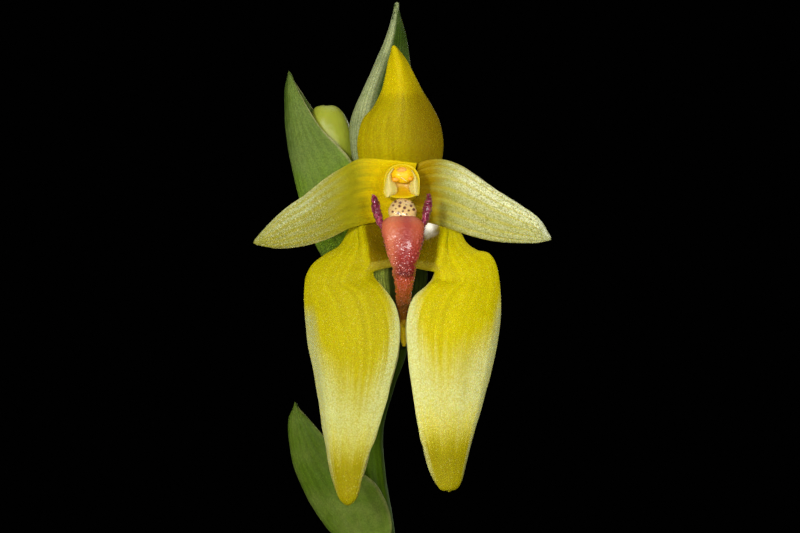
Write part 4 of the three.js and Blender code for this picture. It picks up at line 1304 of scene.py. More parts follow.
@dataclass
class BladeSize:
    """The fineness and thickness of a blade."""

    thickness: float
    along: int = 150
    across: int = 60
    edge: float = 0.3
    ribs: float = 9.0
    rib_height: float = 0.03

    def grid(self, rows: Array) -> tuple[Array, Array, Array]:
        """Spans the middle surface over rows of points, and gives each point's shares along and across."""
        along, across = crowded_ends(self.along, 0.5), crowded_ends(self.across, 0.7)
        return *np.meshgrid(along, across, indexing="ij"), surface_over(rows, along, across)

    def patch(self, rows: Array, masks: dict[str, Array] | None, seed: int) -> Patch:
        """Makes the closed blade over rows of points.

        The thickness falls to the edge share towards both margins and the tip by a round profile. Soft
        ribs run along it, and a slow noise dents it a little.

        Args:
            rows: The stations' points.
            masks: Named values for the points of the grid.
            seed: The seed of the dents.

        Returns:
            The blade, in the frame of the rows.
        """
        v, u, grid = self.grid(rows)
        inside = np.sqrt(np.clip(1 - np.abs(2 * u - 1) ** 7, 0, 1))
        tip = np.sqrt(np.clip(1 - np.clip((v - 0.9) / 0.1, 0, 1) ** 3, 0, 1))
        half = self.thickness / 2 * (self.edge + (1 - self.edge) * inside * tip)
        half *= step_between(1.03, 0.87, v)
        half = np.where(v > 0.999, 0.03, half)
        normals = grid_normals(grid)
        dents = 0.12 * lattice_noise(grid, 5.0, seed) + 0.05 * lattice_noise(grid, 1.7, seed + 3)
        ribs = self.rib_height * np.cos(2 * np.pi * self.ribs * u) * inside
        calm_ends = np.clip(6 * (1 - v), 0, 1) * np.clip(6 * v, 0, 1)
        lift = (dents * inside * calm_ends + ribs)[..., None]
        made = blade(grid + normals * lift, half, masks)
        shares = np.stack([u, v], axis=-1).reshape(-1, 2)
        made.uv = np.tile(shares, (2, 1))[made.quads.reshape(-1)]
        return made


@dataclass
class Sepals:
    """The upright back sepal and the two hanging lateral sepals that line the cup behind the lip."""

    back: BladeSize = field(default_factory=lambda: BladeSize(0.95, ribs=5, rib_height=0.004))
    side: BladeSize = field(default_factory=lambda: BladeSize(
        0.95, along=220, across=84, ribs=7, rib_height=0.004, edge=0.4))
    arch_shares: tuple[float, ...] = (0.16, 0.45, 0.74)

    def back_rows(self) -> Array:
        """Gives the back sepal's stations: broad square shoulders, then a long folded point."""
        left = seen([
            [-1.8, 4.4, 2.6], [-5.5, 3.2, 4.8], [-6.36, 2.5, 7.5], [-6.2, 2.3, 9.9], [-5.5, 2, 12.1],
            [-3.95, 1.7, 13.8], [-2.7, 1.4, 16.1], [-2.1, 1.2, 18.3], [-1.6, 1, 20.6], [-1.15, 0.9, 22.8],
        ])
        right = seen([
            [1.8, 4.4, 2.6], [5.6, 3.2, 4.8], [6.4, 2.5, 7.5], [6.25, 2.3, 9.9], [5.7, 2, 12],
            [4.5, 1.7, 14.3], [3.2, 1.4, 16.3], [2.25, 1.2, 18.2], [1.0, 1, 20.5], [-0.7, 0.9, 22.9],
        ])
        bulge = np.array([0.4, 1.5, 2.4, 2.8, 2.7, 2.3, 1.8, 1.3, 0.8, 0.2])
        between = flat_arch(left, right, bulge, (0.2, 0.5, 0.8))
        between[:, 1, 1] -= 0.45 * np.clip(np.arange(10) / 3 - 1, 0, 1)
        return with_tip(np.concatenate([left[:, None], between, right[:, None]], axis=1), 0.7, 0.1)

    def side_rows(self, cup: Array, outer: Array, inner: Array) -> Array:
        """Gives the stations of one lateral sepal.

        In the cup each row runs from the outer margin over an arch to the crease and on to the inner
        margin. Below the cup it arches between its two margins.

        Args:
            cup: For each station of the cup the outer margin, the crease and the inner margin.
            outer: The outer margin below the cup.
            inner: The inner margin below the cup.

        Returns:
            The stations, six points each.
        """
        cup, outer, inner = seen(cup), seen(outer), seen(inner)
        cup_bulge = 0.2 + 0.8 * np.arange(len(cup)) / len(cup)
        lining = flat_arch(cup[:, 0], cup[:, 1], cup_bulge, self.arch_shares)
        upper = np.concatenate([cup[:, :1], lining, cup[:, 1:]], axis=1)
        bulge = 1.5 - 1.3 * even(len(outer) - 1) ** 1.5
        arch = flat_arch(outer, inner, bulge, self.arch_shares)
        shoulder = outer + (inner - outer) * 0.88
        shoulder[:, 1] -= 0.42 * bulge
        lower = np.concatenate([outer[:, None], arch, shoulder[:, None], inner[:, None]], axis=1)
        return with_tip(np.concatenate([upper, lower]), 0.8, 0.0)

    def left_rows(self) -> Array:
        """Gives the left lateral sepal's stations."""
        cup = [
            [[-5.4, 3.8, -1.4], [-4.4, 3.3, -1.4], [-1.4, 4.8, -1.4]],
            [[-7.4, 2.8, -4.4], [-5.4, 1.9, -4.05], [-1.2, 5, -4.2]],
            [[-9, 1.6, -7.05], [-5, -0.2, -6.8], [-0.8, 4.2, -7]],
            [[-11.3, 0.9, -8.5], [-4.8, -0.9, -8.4], [-0.35, 1.4, -9]],
            [[-13.1, 0.5, -9.8], [-4.6, -1.3, -9.7], [-0.35, 0.5, -9.8]],
            [[-14, 0.2, -11.4], [-5.3, -1.8, -10.9], [-3.6, -0.9, -10.5]],
            [[-14.3, 0, -13.4], [-5.6, -2.2, -12.2], [-3.8, -1.4, -11.6]],
        ]
        outer = [
            [-14.25, -0.2, -16], [-14, -0.6, -19], [-13.7, -1, -22], [-13, -1.4, -25.2], [-12.3, -1.8, -29],
            [-11.75, -2.2, -33], [-11, -2.4, -37], [-10.2, -2.6, -41], [-9.2, -2.8, -44.2],
            [-8.3, -2.9, -45.8],
        ]
        inner = [
            [-2.5, -2.9, -13.2], [-0.7, -4, -15.7], [0, -4.5, -19], [-0.3, -4.5, -23.2], [-1.5, -4.2, -28],
            [-2.9, -3.9, -33.2], [-4.4, -3.7, -37.4], [-5.5, -3.5, -41.2], [-6.5, -3.3, -44.3],
            [-7.4, -3.2, -45.8],
        ]
        return self.side_rows(cup, outer, inner)

    def right_rows(self) -> Array:
        """Gives the right lateral sepal's stations."""
        cup = [
            [[5.6, 3.8, -1.4], [4.6, 3.3, -1.4], [1.6, 4.8, -1.4]],
            [[8.5, 2.8, -4.4], [6.15, 1.9, -4.05], [1.4, 5, -4.2]],
            [[9.9, 1.6, -6.6], [5.9, -0.2, -6.8], [1.1, 4.2, -7]],
            [[11.7, 0.9, -7.8], [5.75, -0.9, -8.4], [0.75, 1.4, -9]],
            [[13.4, 0.5, -8.2], [5.5, -1.3, -9.7], [0.75, 0.5, -9.8]],
            [[14.4, 0.2, -9.8], [6.3, -1.8, -10.9], [4.7, -0.9, -10.4]],
            [[14.9, 0, -12.3], [6.6, -2.2, -12.3], [4.95, -1.4, -11.5]],
        ]
        outer = [
            [15.1, -0.2, -15.2], [15, -0.6, -18.2], [14.6, -1, -21.2], [14, -1.4, -24], [13.1, -1.8, -27.8],
            [12, -2.2, -31.8], [10.9, -2.4, -35.6], [9.8, -2.6, -39.4], [8.9, -2.8, -42.5], [8, -2.9, -43.8],
        ]
        inner = [
            [3.9, -2.9, -13], [1.9, -4, -14.9], [0.96, -4.5, -18.15], [1.1, -4.5, -22.3], [1.7, -4.2, -27.3],
            [2.4, -3.9, -32], [3.2, -3.7, -36], [4.4, -3.5, -40.2], [5.7, -3.3, -42.9], [6.8, -3.2, -43.8],
        ]
        return self.side_rows(cup, outer, inner)

    def side_masks(self, rows: Array) -> dict[str, Array]:
        """Marks three places on a lateral sepal.

        Args:
            rows: The sepal's stations.

        Returns:
            The mask "cup", 1 on what lines the cup, past the crease and above the free blade. The mask
            "fold", 1 below the line where the cup's floor turns to the back. The mask "glint", 1 on the
            patch high in the right wall of the cup that carries a painted highlight.
        """
        v, u, grid = self.side.grid(rows)
        from_glint = np.hypot((grid[..., 0] - 4.65) / 1.2, (grid[..., 2] + 3.9) / 1.8)
        from_glint += 0.25 * lattice_noise(grid, 0.6, 3)
        return {
            # The finish paints shade on the cup and a lit band below the fold.
            "cup": step_between(0.785, 0.815, u) * step_between(0.31, 0.22, v),
            "fold": step_between(0.0, -0.35, grid[..., 2] + 8.75 + 0.13 * np.abs(grid[..., 0])),
            "glint": step_between(1.5, 0.0, from_glint) ** 1.7,
        }

    def build(self, effects: SharedEffects) -> None:
        """Makes the three sepals."""
        # The back sepal gets painted shade down its right side.
        plain = SepalFinish(
            "sepal_yellow", yellow=shown(188, 172, 0), deep=shown(160, 142, 0), tip=shown(214, 192, 0),
            pale_end=0.5, rim=0.0, sparkle=0.03, painted_shade_side=0.85,
        ).material(effects)
        upright = self.back.patch(self.back_rows(), None, 1)
        place_piece("sepal_upright", upright.moved(HEART), plain, "sepal", "sepal_back")
        # On both lateral sepals, inside sets the painted shade in the cup.
        left = SepalFinish(
            "sepal_left", pale_start=0.66, pale_end=0.71, outer_band=0.2, inner_band=0.2, inside=0.95,
        )
        # The right sepal's yellows and pale are lighter than the left one's: painted light on the more lit
        # sepal.
        right = SepalFinish(
            "sepal_right", pale_start=0.62, pale_end=0.69, outer_band=0.12, inner_band=0.2, inside=0.82,
            yellow=shown(214, 200, 0), deep=shown(194, 180, 0), pale=shown(210, 212, 142),
        )
        sides = (("left", left, self.left_rows(), 5), ("right", right, self.right_rows(), 9))
        for side, look, rows, seed in sides:
            made = self.side.patch(rows, self.side_masks(rows), seed).moved(HEART)
            material = look.material(effects)
            place_piece(f"sepal_hanging_{side}", made, material, "sepal", f"sepal_lateral_{side}")


@dataclass
class Petals:
    """The two petals, which wrap the column with their feet and spread out to narrow tips."""

    size: BladeSize = field(default_factory=lambda: BladeSize(0.75, ribs=7, rib_height=0.035, edge=0.3))
    bulges: tuple[float, ...] = (-1.2, -0.8, 0.2, 0.8, 1, 1, 0.8, 0.5, 0.1)

    def rows(self, upper: list, lower: list) -> Array:
        """Gives a petal's stations between its upper and its lower margin.

        Args:
            upper: The upper margin's points.
            lower: The lower margin's points.

        Returns:
            The stations, five points each.
        """
        first, second = seen(upper), seen(lower)
        between = flat_arch(first, second, np.array(self.bulges), (0.2, 0.5, 0.8))
        return with_tip(np.concatenate([first[:, None], between, second[:, None]], axis=1), 0.5, 0.35)

    def build(self, effects: SharedEffects) -> None:
        """Makes the two petals."""
        left = self.rows(
            [[2.5, -0.7, 5.5], [-2.4, -0.3, 6.1], [-6, -0.2, 6.15], [-8.4, -0.8, 5], [-11, -1.4, 3.4],
             [-14.3, -2.4, 0.7], [-17.4, -3.4, -1.5], [-19.8, -4.4, -3.9], [-21.8, -5.2, -5.9]],
            [[1.0, 4.0, -2.4], [-3.2, 2.6, -3.2], [-5.6, 1.2, -3.7], [-8, 0.2, -4.4], [-10.6, -0.6, -5.7],
             [-13.6, -1.8, -6.6], [-16.6, -3, -7.1], [-19.2, -4.2, -7.1], [-21.6, -5.2, -6.8]],
        )
        right = self.rows(
            [[2.7, 0.3, 5.3], [4.0, 0.2, 5.95], [6.4, -0.2, 6.05], [9, -0.8, 5.2], [11.6, -1.4, 3.6],
             [14.8, -2.4, 1.3], [18, -3.4, -0.7], [20.6, -4.4, -2.7], [22.5, -5.2, -5.4]],
            [[0.2, 4.3, -2.4], [3.8, 2.6, -3.3], [6.2, 1.2, -3.9], [8.8, 0.2, -4.7], [11.4, -0.6, -5.5],
             [14.4, -1.8, -6.15], [17.6, -3, -6.4], [20.4, -4.2, -6.35], [22.4, -5.2, -6.2]],
        )
        # The left petal's pale is darker than the right one's: painted shade on the less lit petal.
        left_look = PetalFinish(
            "petal_left_flesh", silver_start=0.36, green=shown(150, 144, 14), pale=shown(186, 192, 138),
        )
        # The right petal's pale and veins are lighter as painted light, and its foot darker as painted shade
        # where the column shades it.
        right_look = PetalFinish(
            "petal_right_flesh", foot=shown(158, 130, 0), silver_start=0.2, pale=shown(226, 228, 178),
            vein=shown(192, 182, 62),
        )
        for side, look, rows, seed in (("left", left_look, left, 21), ("right", right_look, right, 25)):
            made = self.size.patch(rows, None, seed).moved(HEART)
            place_piece(f"petal_blade_{side}", made, look.material(effects), "petal", f"petal_{side}")


@dataclass
class Bracts:
    """The boat-shaped bracts, each spanned from a margin over its keel to the far margin."""

    size: BladeSize = field(default_factory=lambda: BladeSize(
        0.75, along=130, across=80, ribs=13, rib_height=0.014, edge=0.25))

    def rows(self, margin: list, keel: list, far_margin: list, belly: float) -> Array:
        """Gives a bract's stations.

        The middle of each half, between a margin and the keel, is pushed out by the belly times the way
        from the middle of the margins to the keel.

        Args:
            margin: The near margin's points.
            keel: The keel's points.
            far_margin: The far margin's points.
            belly: How far each half is pushed out.

        Returns:
            The stations, five points each.
        """
        first, middle, second = seen(margin), seen(keel), seen(far_margin)
        outwards = (middle - (first + second) / 2) * belly
        rows = [first, (first + middle) / 2 + outwards, middle, (second + middle) / 2 + outwards, second]
        return with_tip(np.stack(rows, axis=1), 0.5, 0.5)

    def build(self, effects: SharedEffects) -> None:
        """Makes the four bracts."""
        # The lighter foot is partly painted light, the glow through the bract's lower part.
        green = GreenFinish(
            "bract_green", green=shown(70, 92, 26), dark=shown(50, 68, 14), bloom=shown(112, 128, 66),
            near_side=shown(106, 128, 50), near_end=0.4,
            margin=shown(186, 180, 130), foot=shown(134, 172, 34), margin_width=0.02, flesh=0.2,
            bloom_share=0.65, vein_depth=0.02, streak=0.2,
        ).material(effects)
        silvery = GreenFinish(
            "bract_top_green", green=shown(66, 92, 24), dark=shown(50, 70, 14), bloom=shown(112, 130, 66),
            near_side=shown(186, 194, 138), near_end=0.62, margin=shown(190, 186, 140), margin_width=0.02,
            flesh=0.2, vein_depth=0.02,
        ).material(effects)
        low = GreenFinish(
            "bract_low_green", green=shown(74, 98, 16), dark=shown(50, 66, 8), bloom=shown(108, 116, 56),
            margin=shown(116, 120, 66), margin_width=0.02, vein_depth=0.02,
        ).material(effects)
        # The bract behind the flower is painted lit and shaded: its near half pale as painted light, the
        # rest a dark green as painted shade.
        behind = GreenFinish(
            "bract_shaded", green=shown(44, 56, 12), dark=shown(34, 44, 8), bloom=shown(52, 62, 18),
            margin=shown(44, 54, 14), near_side=shown(236, 255, 110), near_end=0.5, bloom_share=0.0,
            margin_width=0.0, streak=0.1,
        ).material(effects)
        shapes = {
            "bract_lowest": self.rows(
                [[-2.6, 10.3, -54], [-1.2, 9.6, -48.6], [-3.2, 8.2, -43.2], [-6.2, 8, -40.5],
                 [-8.8, 8.2, -38], [-11.4, 8.6, -35.4], [-13.6, 9.2, -32.9], [-15.4, 9.9, -30.8]],
                [[-5.8, 13, -55.5], [-8.2, 13, -51.6], [-10.9, 12.6, -48.8], [-13.4, 12.2, -44.8],
                 [-15.5, 11.8, -40.3], [-16.35, 11.2, -36], [-16.35, 10.7, -32.8], [-15.9, 10.3, -30.7]],
                [[-2.6, 15.7, -54], [-2, 16.6, -48.6], [-4.4, 17.2, -43.2], [-7, 17, -40.3],
                 [-9.4, 16, -37.8], [-11.8, 14.6, -35.2], [-13.9, 12.8, -32.8], [-15.5, 11, -30.8]], 0.28),
            "bract_open_flower": self.rows(
                [[-3.3, 12.8, -21.5], [-3.9, 11.6, -17], [-4.5, 10.4, -13.5], [-4.5, 9.4, -10],
                 [-2.8, 8.4, -6.8], [-0.8, 7.3, -4.6]],
                [[-0.5, 10.2, -22.5], [-0.8, 8.4, -17], [-1.2, 7.2, -13.5], [-1.3, 6.6, -10],
                 [-0.8, 6.5, -6.6], [-0.2, 6.8, -4.4]],
                [[2.3, 12.8, -21.5], [2.9, 11.6, -17], [3.8, 10.6, -13.5], [4, 9.8, -10], [2.3, 8.6, -6.8],
                 [0.4, 7.3, -4.6]], 0.1),
            "bract_upper": self.rows(
                [[-3.2, 10.3, -13], [-3.4, 9.2, -8], [-4.6, 8.4, -3], [-6, 7.8, 1.5], [-7.3, 7.4, 5.8],
                 [-9.4, 7.4, 8.3], [-12, 7.8, 11], [-14.4, 8.6, 14.8], [-16.4, 9.5, 18.8]],
                [[-6.2, 13, -14], [-9.4, 13, -10.9], [-12.1, 12.5, -7.2], [-13.7, 12, -3], [-15.2, 11.5, 2],
                 [-16.3, 11, 7], [-16.9, 10.5, 12], [-16.9, 10, 16.3], [-16.7, 9.9, 18.9]],
                [[-3.2, 15.7, -13], [-3.4, 16.6, -8], [-4.6, 17, -3], [-6, 17, 1.5], [-7.5, 16.4, 5.5],
                 [-9.8, 15.4, 9.2], [-12.2, 14, 12.4], [-14.4, 12.4, 15.6], [-16.4, 10.6, 18.9]], 0.22),
            "bract_top": self.rows(
                [[-4.9, 13, -1.5], [-6.4, 12, 3.5], [-7.2, 11, 8], [-7.3, 10.4, 11.7], [-5.5, 10, 16.1],
                 [-3.6, 9.8, 20.1], [-1.75, 9.4, 24.2], [-0.65, 8.7, 28.8]],
                [[-2.8, 10.4, -2], [-4.6, 8.2, 3.5], [-5.3, 7.2, 8], [-5, 6.8, 12.3], [-3.9, 6.8, 16.8],
                 [-2.4, 7.1, 21], [-1.2, 7.7, 25], [-0.5, 8.3, 29.3]],
                [[-0.2, 13, -1.5], [0.9, 12.6, 3.5], [1.9, 12.2, 8], [2.3, 11.8, 12], [2.1, 11.5, 16.3],
                 [1.5, 11, 20.2], [0.85, 10.4, 24.5], [-0.35, 9.0, 28.8]], 0.2),
        }
        looks = {"bract_open_flower": behind, "bract_lowest": low, "bract_top": silvery}
        for seed, (name, rows) in enumerate(shapes.items()):
            made = self.size.patch(rows, None, 40 + seed).moved(HEART)
            place_piece(name.replace("bract", "boat_bract"), made, looks.get(name, green), "bract", name)


@dataclass
class Stalk:
    """The zigzag flower stalk with its scar, its dry sheaths, the two buds and the flower's ovary."""

    sides: int = 40
    steps: int = 300
    sheath_radius: float = 3.1

    def stem_patch(self) -> Patch:
        """Makes the stalk: round, with low ribs and a swelling at each upper node."""
        rings = rings_along(STALK_PATH, STALK_RADII, self.sides, self.steps)
        ribs = 0.018 * np.cos(9 * circle(self.sides)) + 0.012 * rough_noise(rings, 2.2, 4)
        scar_path = seen([[-3.6, 12.8, -49], [-5.8, 12.6, -46.6], [-7, 12.4, -44.4]])
        scar = rings_along(scar_path, [1.2, 0.95, 0.9], 24, 20)
        return joined([tube(widened(rings, 1 + ribs[..., None])), tube(scar)])

    def bud_patch(self, points: list, radii: list) -> Patch:
        """Makes one bud: an egg on a short stalk, with three blunt keels towards its tip.

        Args:
            points: The stations of its middle line.
            radii: Its radii there.

        Returns:
            The bud, with the mask "tip" rising from 0 at its foot to 1.
        """
        sides, steps = 48, 90
        rings = rings_along(seen(points), radii, sides, steps)
        share = even(steps)[:, None]
        keels = 0.02 * np.cos(3 * circle(sides)) * np.clip(2 * share - 0.6, 0, 1)
        return tube(widened(rings, 1 + keels[..., None]), {"tip": step_between(0.1, 0.6, share)})

    def sheath_patch(self, start: float, length: float, facing: float) -> Patch:
        """Makes a dry sheath rolled round the stalk, which rises to a point on the side that it faces.

        At an angle s from its middle its height is length times r (1 - 0.45 |s|^1.2), and its radius
        widens by 0.9 r squared, with fine ribs and a torn waving margin.

        Args:
            start: The height of its foot, from the flower's heart.
            length: How far its point rises above that.
            facing: The side that it faces, in degrees from the x axis.

        Returns:
            The sheath.
        """
        rise, side = np.meshgrid(even(30), np.linspace(-1, 1, 97), indexing="ij")
        angle = math.radians(facing) + side * np.pi * 0.9
        torn = 0.03 * lattice_noise(points_at(side * 9, 0.0, start), 0.6, 3)
        height = start + length * rise * (1 - 0.45 * np.abs(side) ** 1.2 + torn)
        shares = np.linspace(0, 1, 1200)
        path = smooth(STALK_PATH, shares)
        x, y = (np.interp(height, path[:, 2], path[:, axis]) for axis in (0, 1))
        ribs = 0.05 * np.cos(side * 44) + 0.12 * rise**2 * np.sin(7 * side + start)
        radius = self.sheath_radius + 0.9 * rise**2 + ribs
        grid = points_at(x + radius * np.cos(angle), y + radius * np.sin(angle), height)
        return blade(grid, 0.13 + 0.14 * (1 - rise))

    def build(self, effects: SharedEffects) -> None:
        """Makes the stalk and what it carries."""
        stem = GreenFinish(
            "stalk_green", green=shown(66, 92, 6), dark=shown(42, 60, 2), bloom=shown(80, 104, 14),
            margin=shown(70, 84, 16), vein_count=12, vein_depth=0.02, margin_width=0.0, bloom_share=0.35,
        ).material(effects)
        place_piece("stalk", self.stem_patch().moved(HEART), stem, "stem", "flower_stalk")
        ovary_path = seen([[-0.4, 10.6, -19.4], [-0.2, 10.3, -14], [0, 9.9, -8.5], [0.2, 8.6, -3],
                           [0.2, 6.6, 0.6], [0.2, 5.4, 1.6]])
        ovary = tube(rings_along(ovary_path, [0.8, 1.15, 1.3, 1.6, 1.9, 1.7], 32, 80))
        place_piece("flower_ovary", ovary.moved(HEART), stem, "stem", "ovary")
        bud_flesh = PlainFlesh("bud_green", shown(100, 122, 20), shown(158, 166, 50), flesh=0.25, pitch=3.0)
        bud = bud_flesh.material(effects)
        upper = [
            [-4.9, 12.9, -9.4], [-6, 12.8, -4.4], [-7.5, 12.5, 1], [-9.1, 12.2, 6], [-10.5, 12, 10.2],
            [-11.3, 11.8, 12.5], [-11.75, 11.7, 13.7], [-11.85, 11.7, 14.15],
        ]
        top = [
            [-2.4, 12.45, 0.6], [-2.1, 12.2, 4.4], [-1.9, 11.8, 8], [-1.7, 11.5, 11.5], [-1.6, 11.3, 13.6],
        ]
        buds = {
            "upper": self.bud_patch(upper, [0.9, 1.2, 2.1, 3.0, 3.15, 2.7, 1.6, 0.4]),
            "top": self.bud_patch(top, [0.8, 1.2, 1.9, 1.6, 0.3]),
        }
        for place, made in buds.items():
            place_piece(f"green_bud_{place}", made.moved(HEART), bud, "bud", f"bud_{place}")
        dry = GreenFinish(
            "dry_sheath", green=shown(168, 150, 104), dark=shown(112, 92, 60), bloom=shown(198, 186, 146),
            margin=shown(126, 100, 68), vein_count=24, vein_depth=0.06, margin_width=0.05, blotch=4.0,
            surface=Surface.DRY, flesh=0.1,
        ).material(effects)
        sheaths = (("low", -266, 30, 200), ("middle", -212, 27, 20), ("high", -150, 24, 190))
        for place, start, length, facing in sheaths:
            made = self.sheath_patch(start, length, facing).moved(HEART)
            place_piece(f"dry_sheath_{place}", made, dry, "sheath", f"stalk_sheath_{place}")


@dataclass
class Column:
    """The column in the flower's heart: a hollow arch with pale wings, its anther cap and its foot."""

    middle: float = 0.3
    bowl_depth: float = 1.1
    sides: int = 96

    def body_patch(self) -> Patch:
        """Makes the arch.

        Its section is an oval with a flat underside. It is carried from its back to its front, and its front
        sinks in as a bowl that is bowl_depth deep in the middle. The mask "tip" is 0 on the outside and
        rises to 1 in the bowl, where the finish lays a darker amber as painted shade.
        """
        stations = np.array([
            [4.8, 1.7, 0, 3], [2.6, 2.2, -0.3, 4.3], [0.2, 2.5, -0.1, 5], [-2.9, 2.65, 0.2, 5.25],
        ])
        depth, half, low, high = smooth(stations, even(40)).T[:, :, None]
        angle = circle(self.sides)[None]
        across = np.sign(np.cos(angle)) * np.abs(np.cos(angle)) ** 0.8
        up = np.where(np.sin(angle) < 0, -np.abs(np.sin(angle)) ** 0.5, np.sin(angle))
        x, z = self.middle + across * half, (low + high) / 2 + up * (high - low) / 2
        outside = points_at(x, depth, z)
        inwards = np.linspace(0.985, 0.05, 44)[:, None]
        bowl = np.array([self.middle, 0, 2.3])
        rim = outside[-1] - bowl
        inside = bowl + rim[None] * inwards[..., None]
        lip_roll = 0.05 * np.exp(-(((inwards - 0.9) / 0.08) ** 2))
        inside[..., 1] = -2.95 + self.bowl_depth * (1 - inwards**1.8) - lip_roll
        rings = np.concatenate([outside, inside])
        hollow = np.concatenate([np.zeros((len(outside), 1)), step_between(0.98, 0.7, inwards)])
        return tube(rings, {"tip": hollow})

    def wing_patch(self, outer: list, inner: list) -> Patch:
        """Makes one wing on the arch's rim: a thin crescent between two rails in the plane of the front.

        Args:
            outer: The outer rail's points, as x and z.
            inner: The inner rail's points.

        Returns:
            The wing, with the mask "middle" rising from 0 at its outer rail to 1.
        """
        first, second = np.array(outer, float), np.array(inner, float)
        between = first + (second - first) * 0.5
        rows = np.stack([
            np.insert(first, 1, -2.75, axis=1), np.insert(between, 1, -3.0, axis=1),
            np.insert(second, 1, -2.55, axis=1),
        ], axis=1)
        grid = surface_over(rows, even(40), crowded_ends(20))
        across = np.broadcast_to(crowded_ends(20)[None], grid.shape[:2])
        return blade(grid, np.full(grid.shape[:2], 0.08), {"middle": step_between(0.0, 0.35, across)})

    def ball(self, middle: Colour, radii: Colour, dent: float = 0.0) -> Patch:
        """Makes an oval knob with slight dents.

        Args:
            middle: Its middle.
            radii: Its radii along x, y and z.
            dent: How deep its dents are, as a share of its radii.

        Returns:
            The knob.
        """
        polar = np.linspace(0.02, np.pi - 0.02, 32)
        way = turned_round(np.sin(polar), np.cos(polar), 44)
        size = 1 + dent * lattice_noise(way + np.array(middle), 0.5, 8)
        return tube(np.array(middle) + way * np.array(radii) * size[..., None]).turned_out()

    def build_anther(self, effects: SharedEffects) -> None:
        """Makes the anther cap: a dome, two orange knobs under it, a rosy crest and a white bristle."""
        root, tip, sag = np.array([[[0.15, -3.75, 3.25]], [[1.15, -4.2, 2.5]], [[0, -0.1, 0.05]]])
        pieces = {
            "dome": (
                self.ball((0.45, -2.45, 3.7), (1.7, 1.1, 1.3), 0.05),
                PlainFlesh("anther_flesh", shown(255, 202, 16), pitch=0.9, depth=0.2),
            ),
            "knobs": (
                joined([
                    self.ball((-0.6, -3.1, 3.0), (0.6, 0.3, 0.42), 0.1),
                    self.ball((1.5, -3.1, 3.15), (0.45, 0.25, 0.4), 0.1),
                ]),
                PlainFlesh("anther_orange", shown(246, 164, 4), pitch=0.5),
            ),
            "crest": (
                self.ball((0.25, -3.1, 4.3), (0.75, 0.4, 0.5), 0.2),
                PlainFlesh("anther_rosy", shown(250, 172, 74), pitch=0.4, depth=0.6),
            ),
            "bristle": (
                strands(root, tip, sag, 0.055, sides=8, steps=8),
                PlainFlesh("bristle_white", shown(250, 226, 170), shown(250, 240, 214), pitch=0.5),
            ),
        }
        for name, (made, flesh) in pieces.items():
            place_piece(f"anther_{name}", made.moved(HEART), flesh.material(effects), "anther", "anther_cap")

    def build(self, effects: SharedEffects) -> None:
        """Makes the column's pieces."""
        # The second, darker amber in the bowl is painted shade in the hollow.
        flesh = PlainFlesh("column_flesh", shown(222, 192, 4), shown(204, 160, 0), pitch=1.2)
        side_view = [[3.4, 0.6], [3.5, -2.4], [2.9, -5.0], [1.0, -6.9], [-0.6, -7.3]]
        foot_path = np.insert(side_view, 0, self.middle, axis=1)
        foot_depths = [0.9, 0.85, 0.8, 0.75, 0.6]
        foot = tube(rings_along(foot_path, [1.5, 1.4, 1.3, 1.15, 1], 32, 60, foot_depths))
        body = joined([self.body_patch().turned_out(), foot])
        place_piece("column_arch", body.moved(HEART), flesh.material(effects), "column", "column")
        pale = PlainFlesh(
            "wing_flesh", shown(224, 192, 36), shown(232, 200, 102), mask="middle", pitch=0.8, depth=0.3,
            flesh=0.6,
        ).material(effects)
        wings = joined([
            self.wing_patch(
                [[-2.1, 0.3], [-2.4, 0.9], [-2.4, 1.7], [-2.3, 2.4], [-2.1, 3.1], [-1.75, 3.9], [-1, 4.7]],
                [[-1.6, 0.4], [-0.6, 0.95], [-0.45, 1.6], [-0.7, 2.3], [-1.15, 3], [-1.35, 3.7],
                 [-0.95, 4.6]],
            ),
            self.wing_patch(
                [[2.7, 0.55], [2.9, 1.0], [2.9, 1.8], [2.75, 2.6], [2.5, 3.3], [2.15, 3.9], [1.75, 4.4]],
                [[2.1, 0.6], [1.55, 1.2], [1.4, 1.9], [1.6, 2.6], [2.0, 3.15], [1.95, 3.7], [1.7, 4.3]],
            ),
        ])
        place_piece("column_wings", wings.moved(HEART), pale, "column", "column")
        self.build_anther(effects)


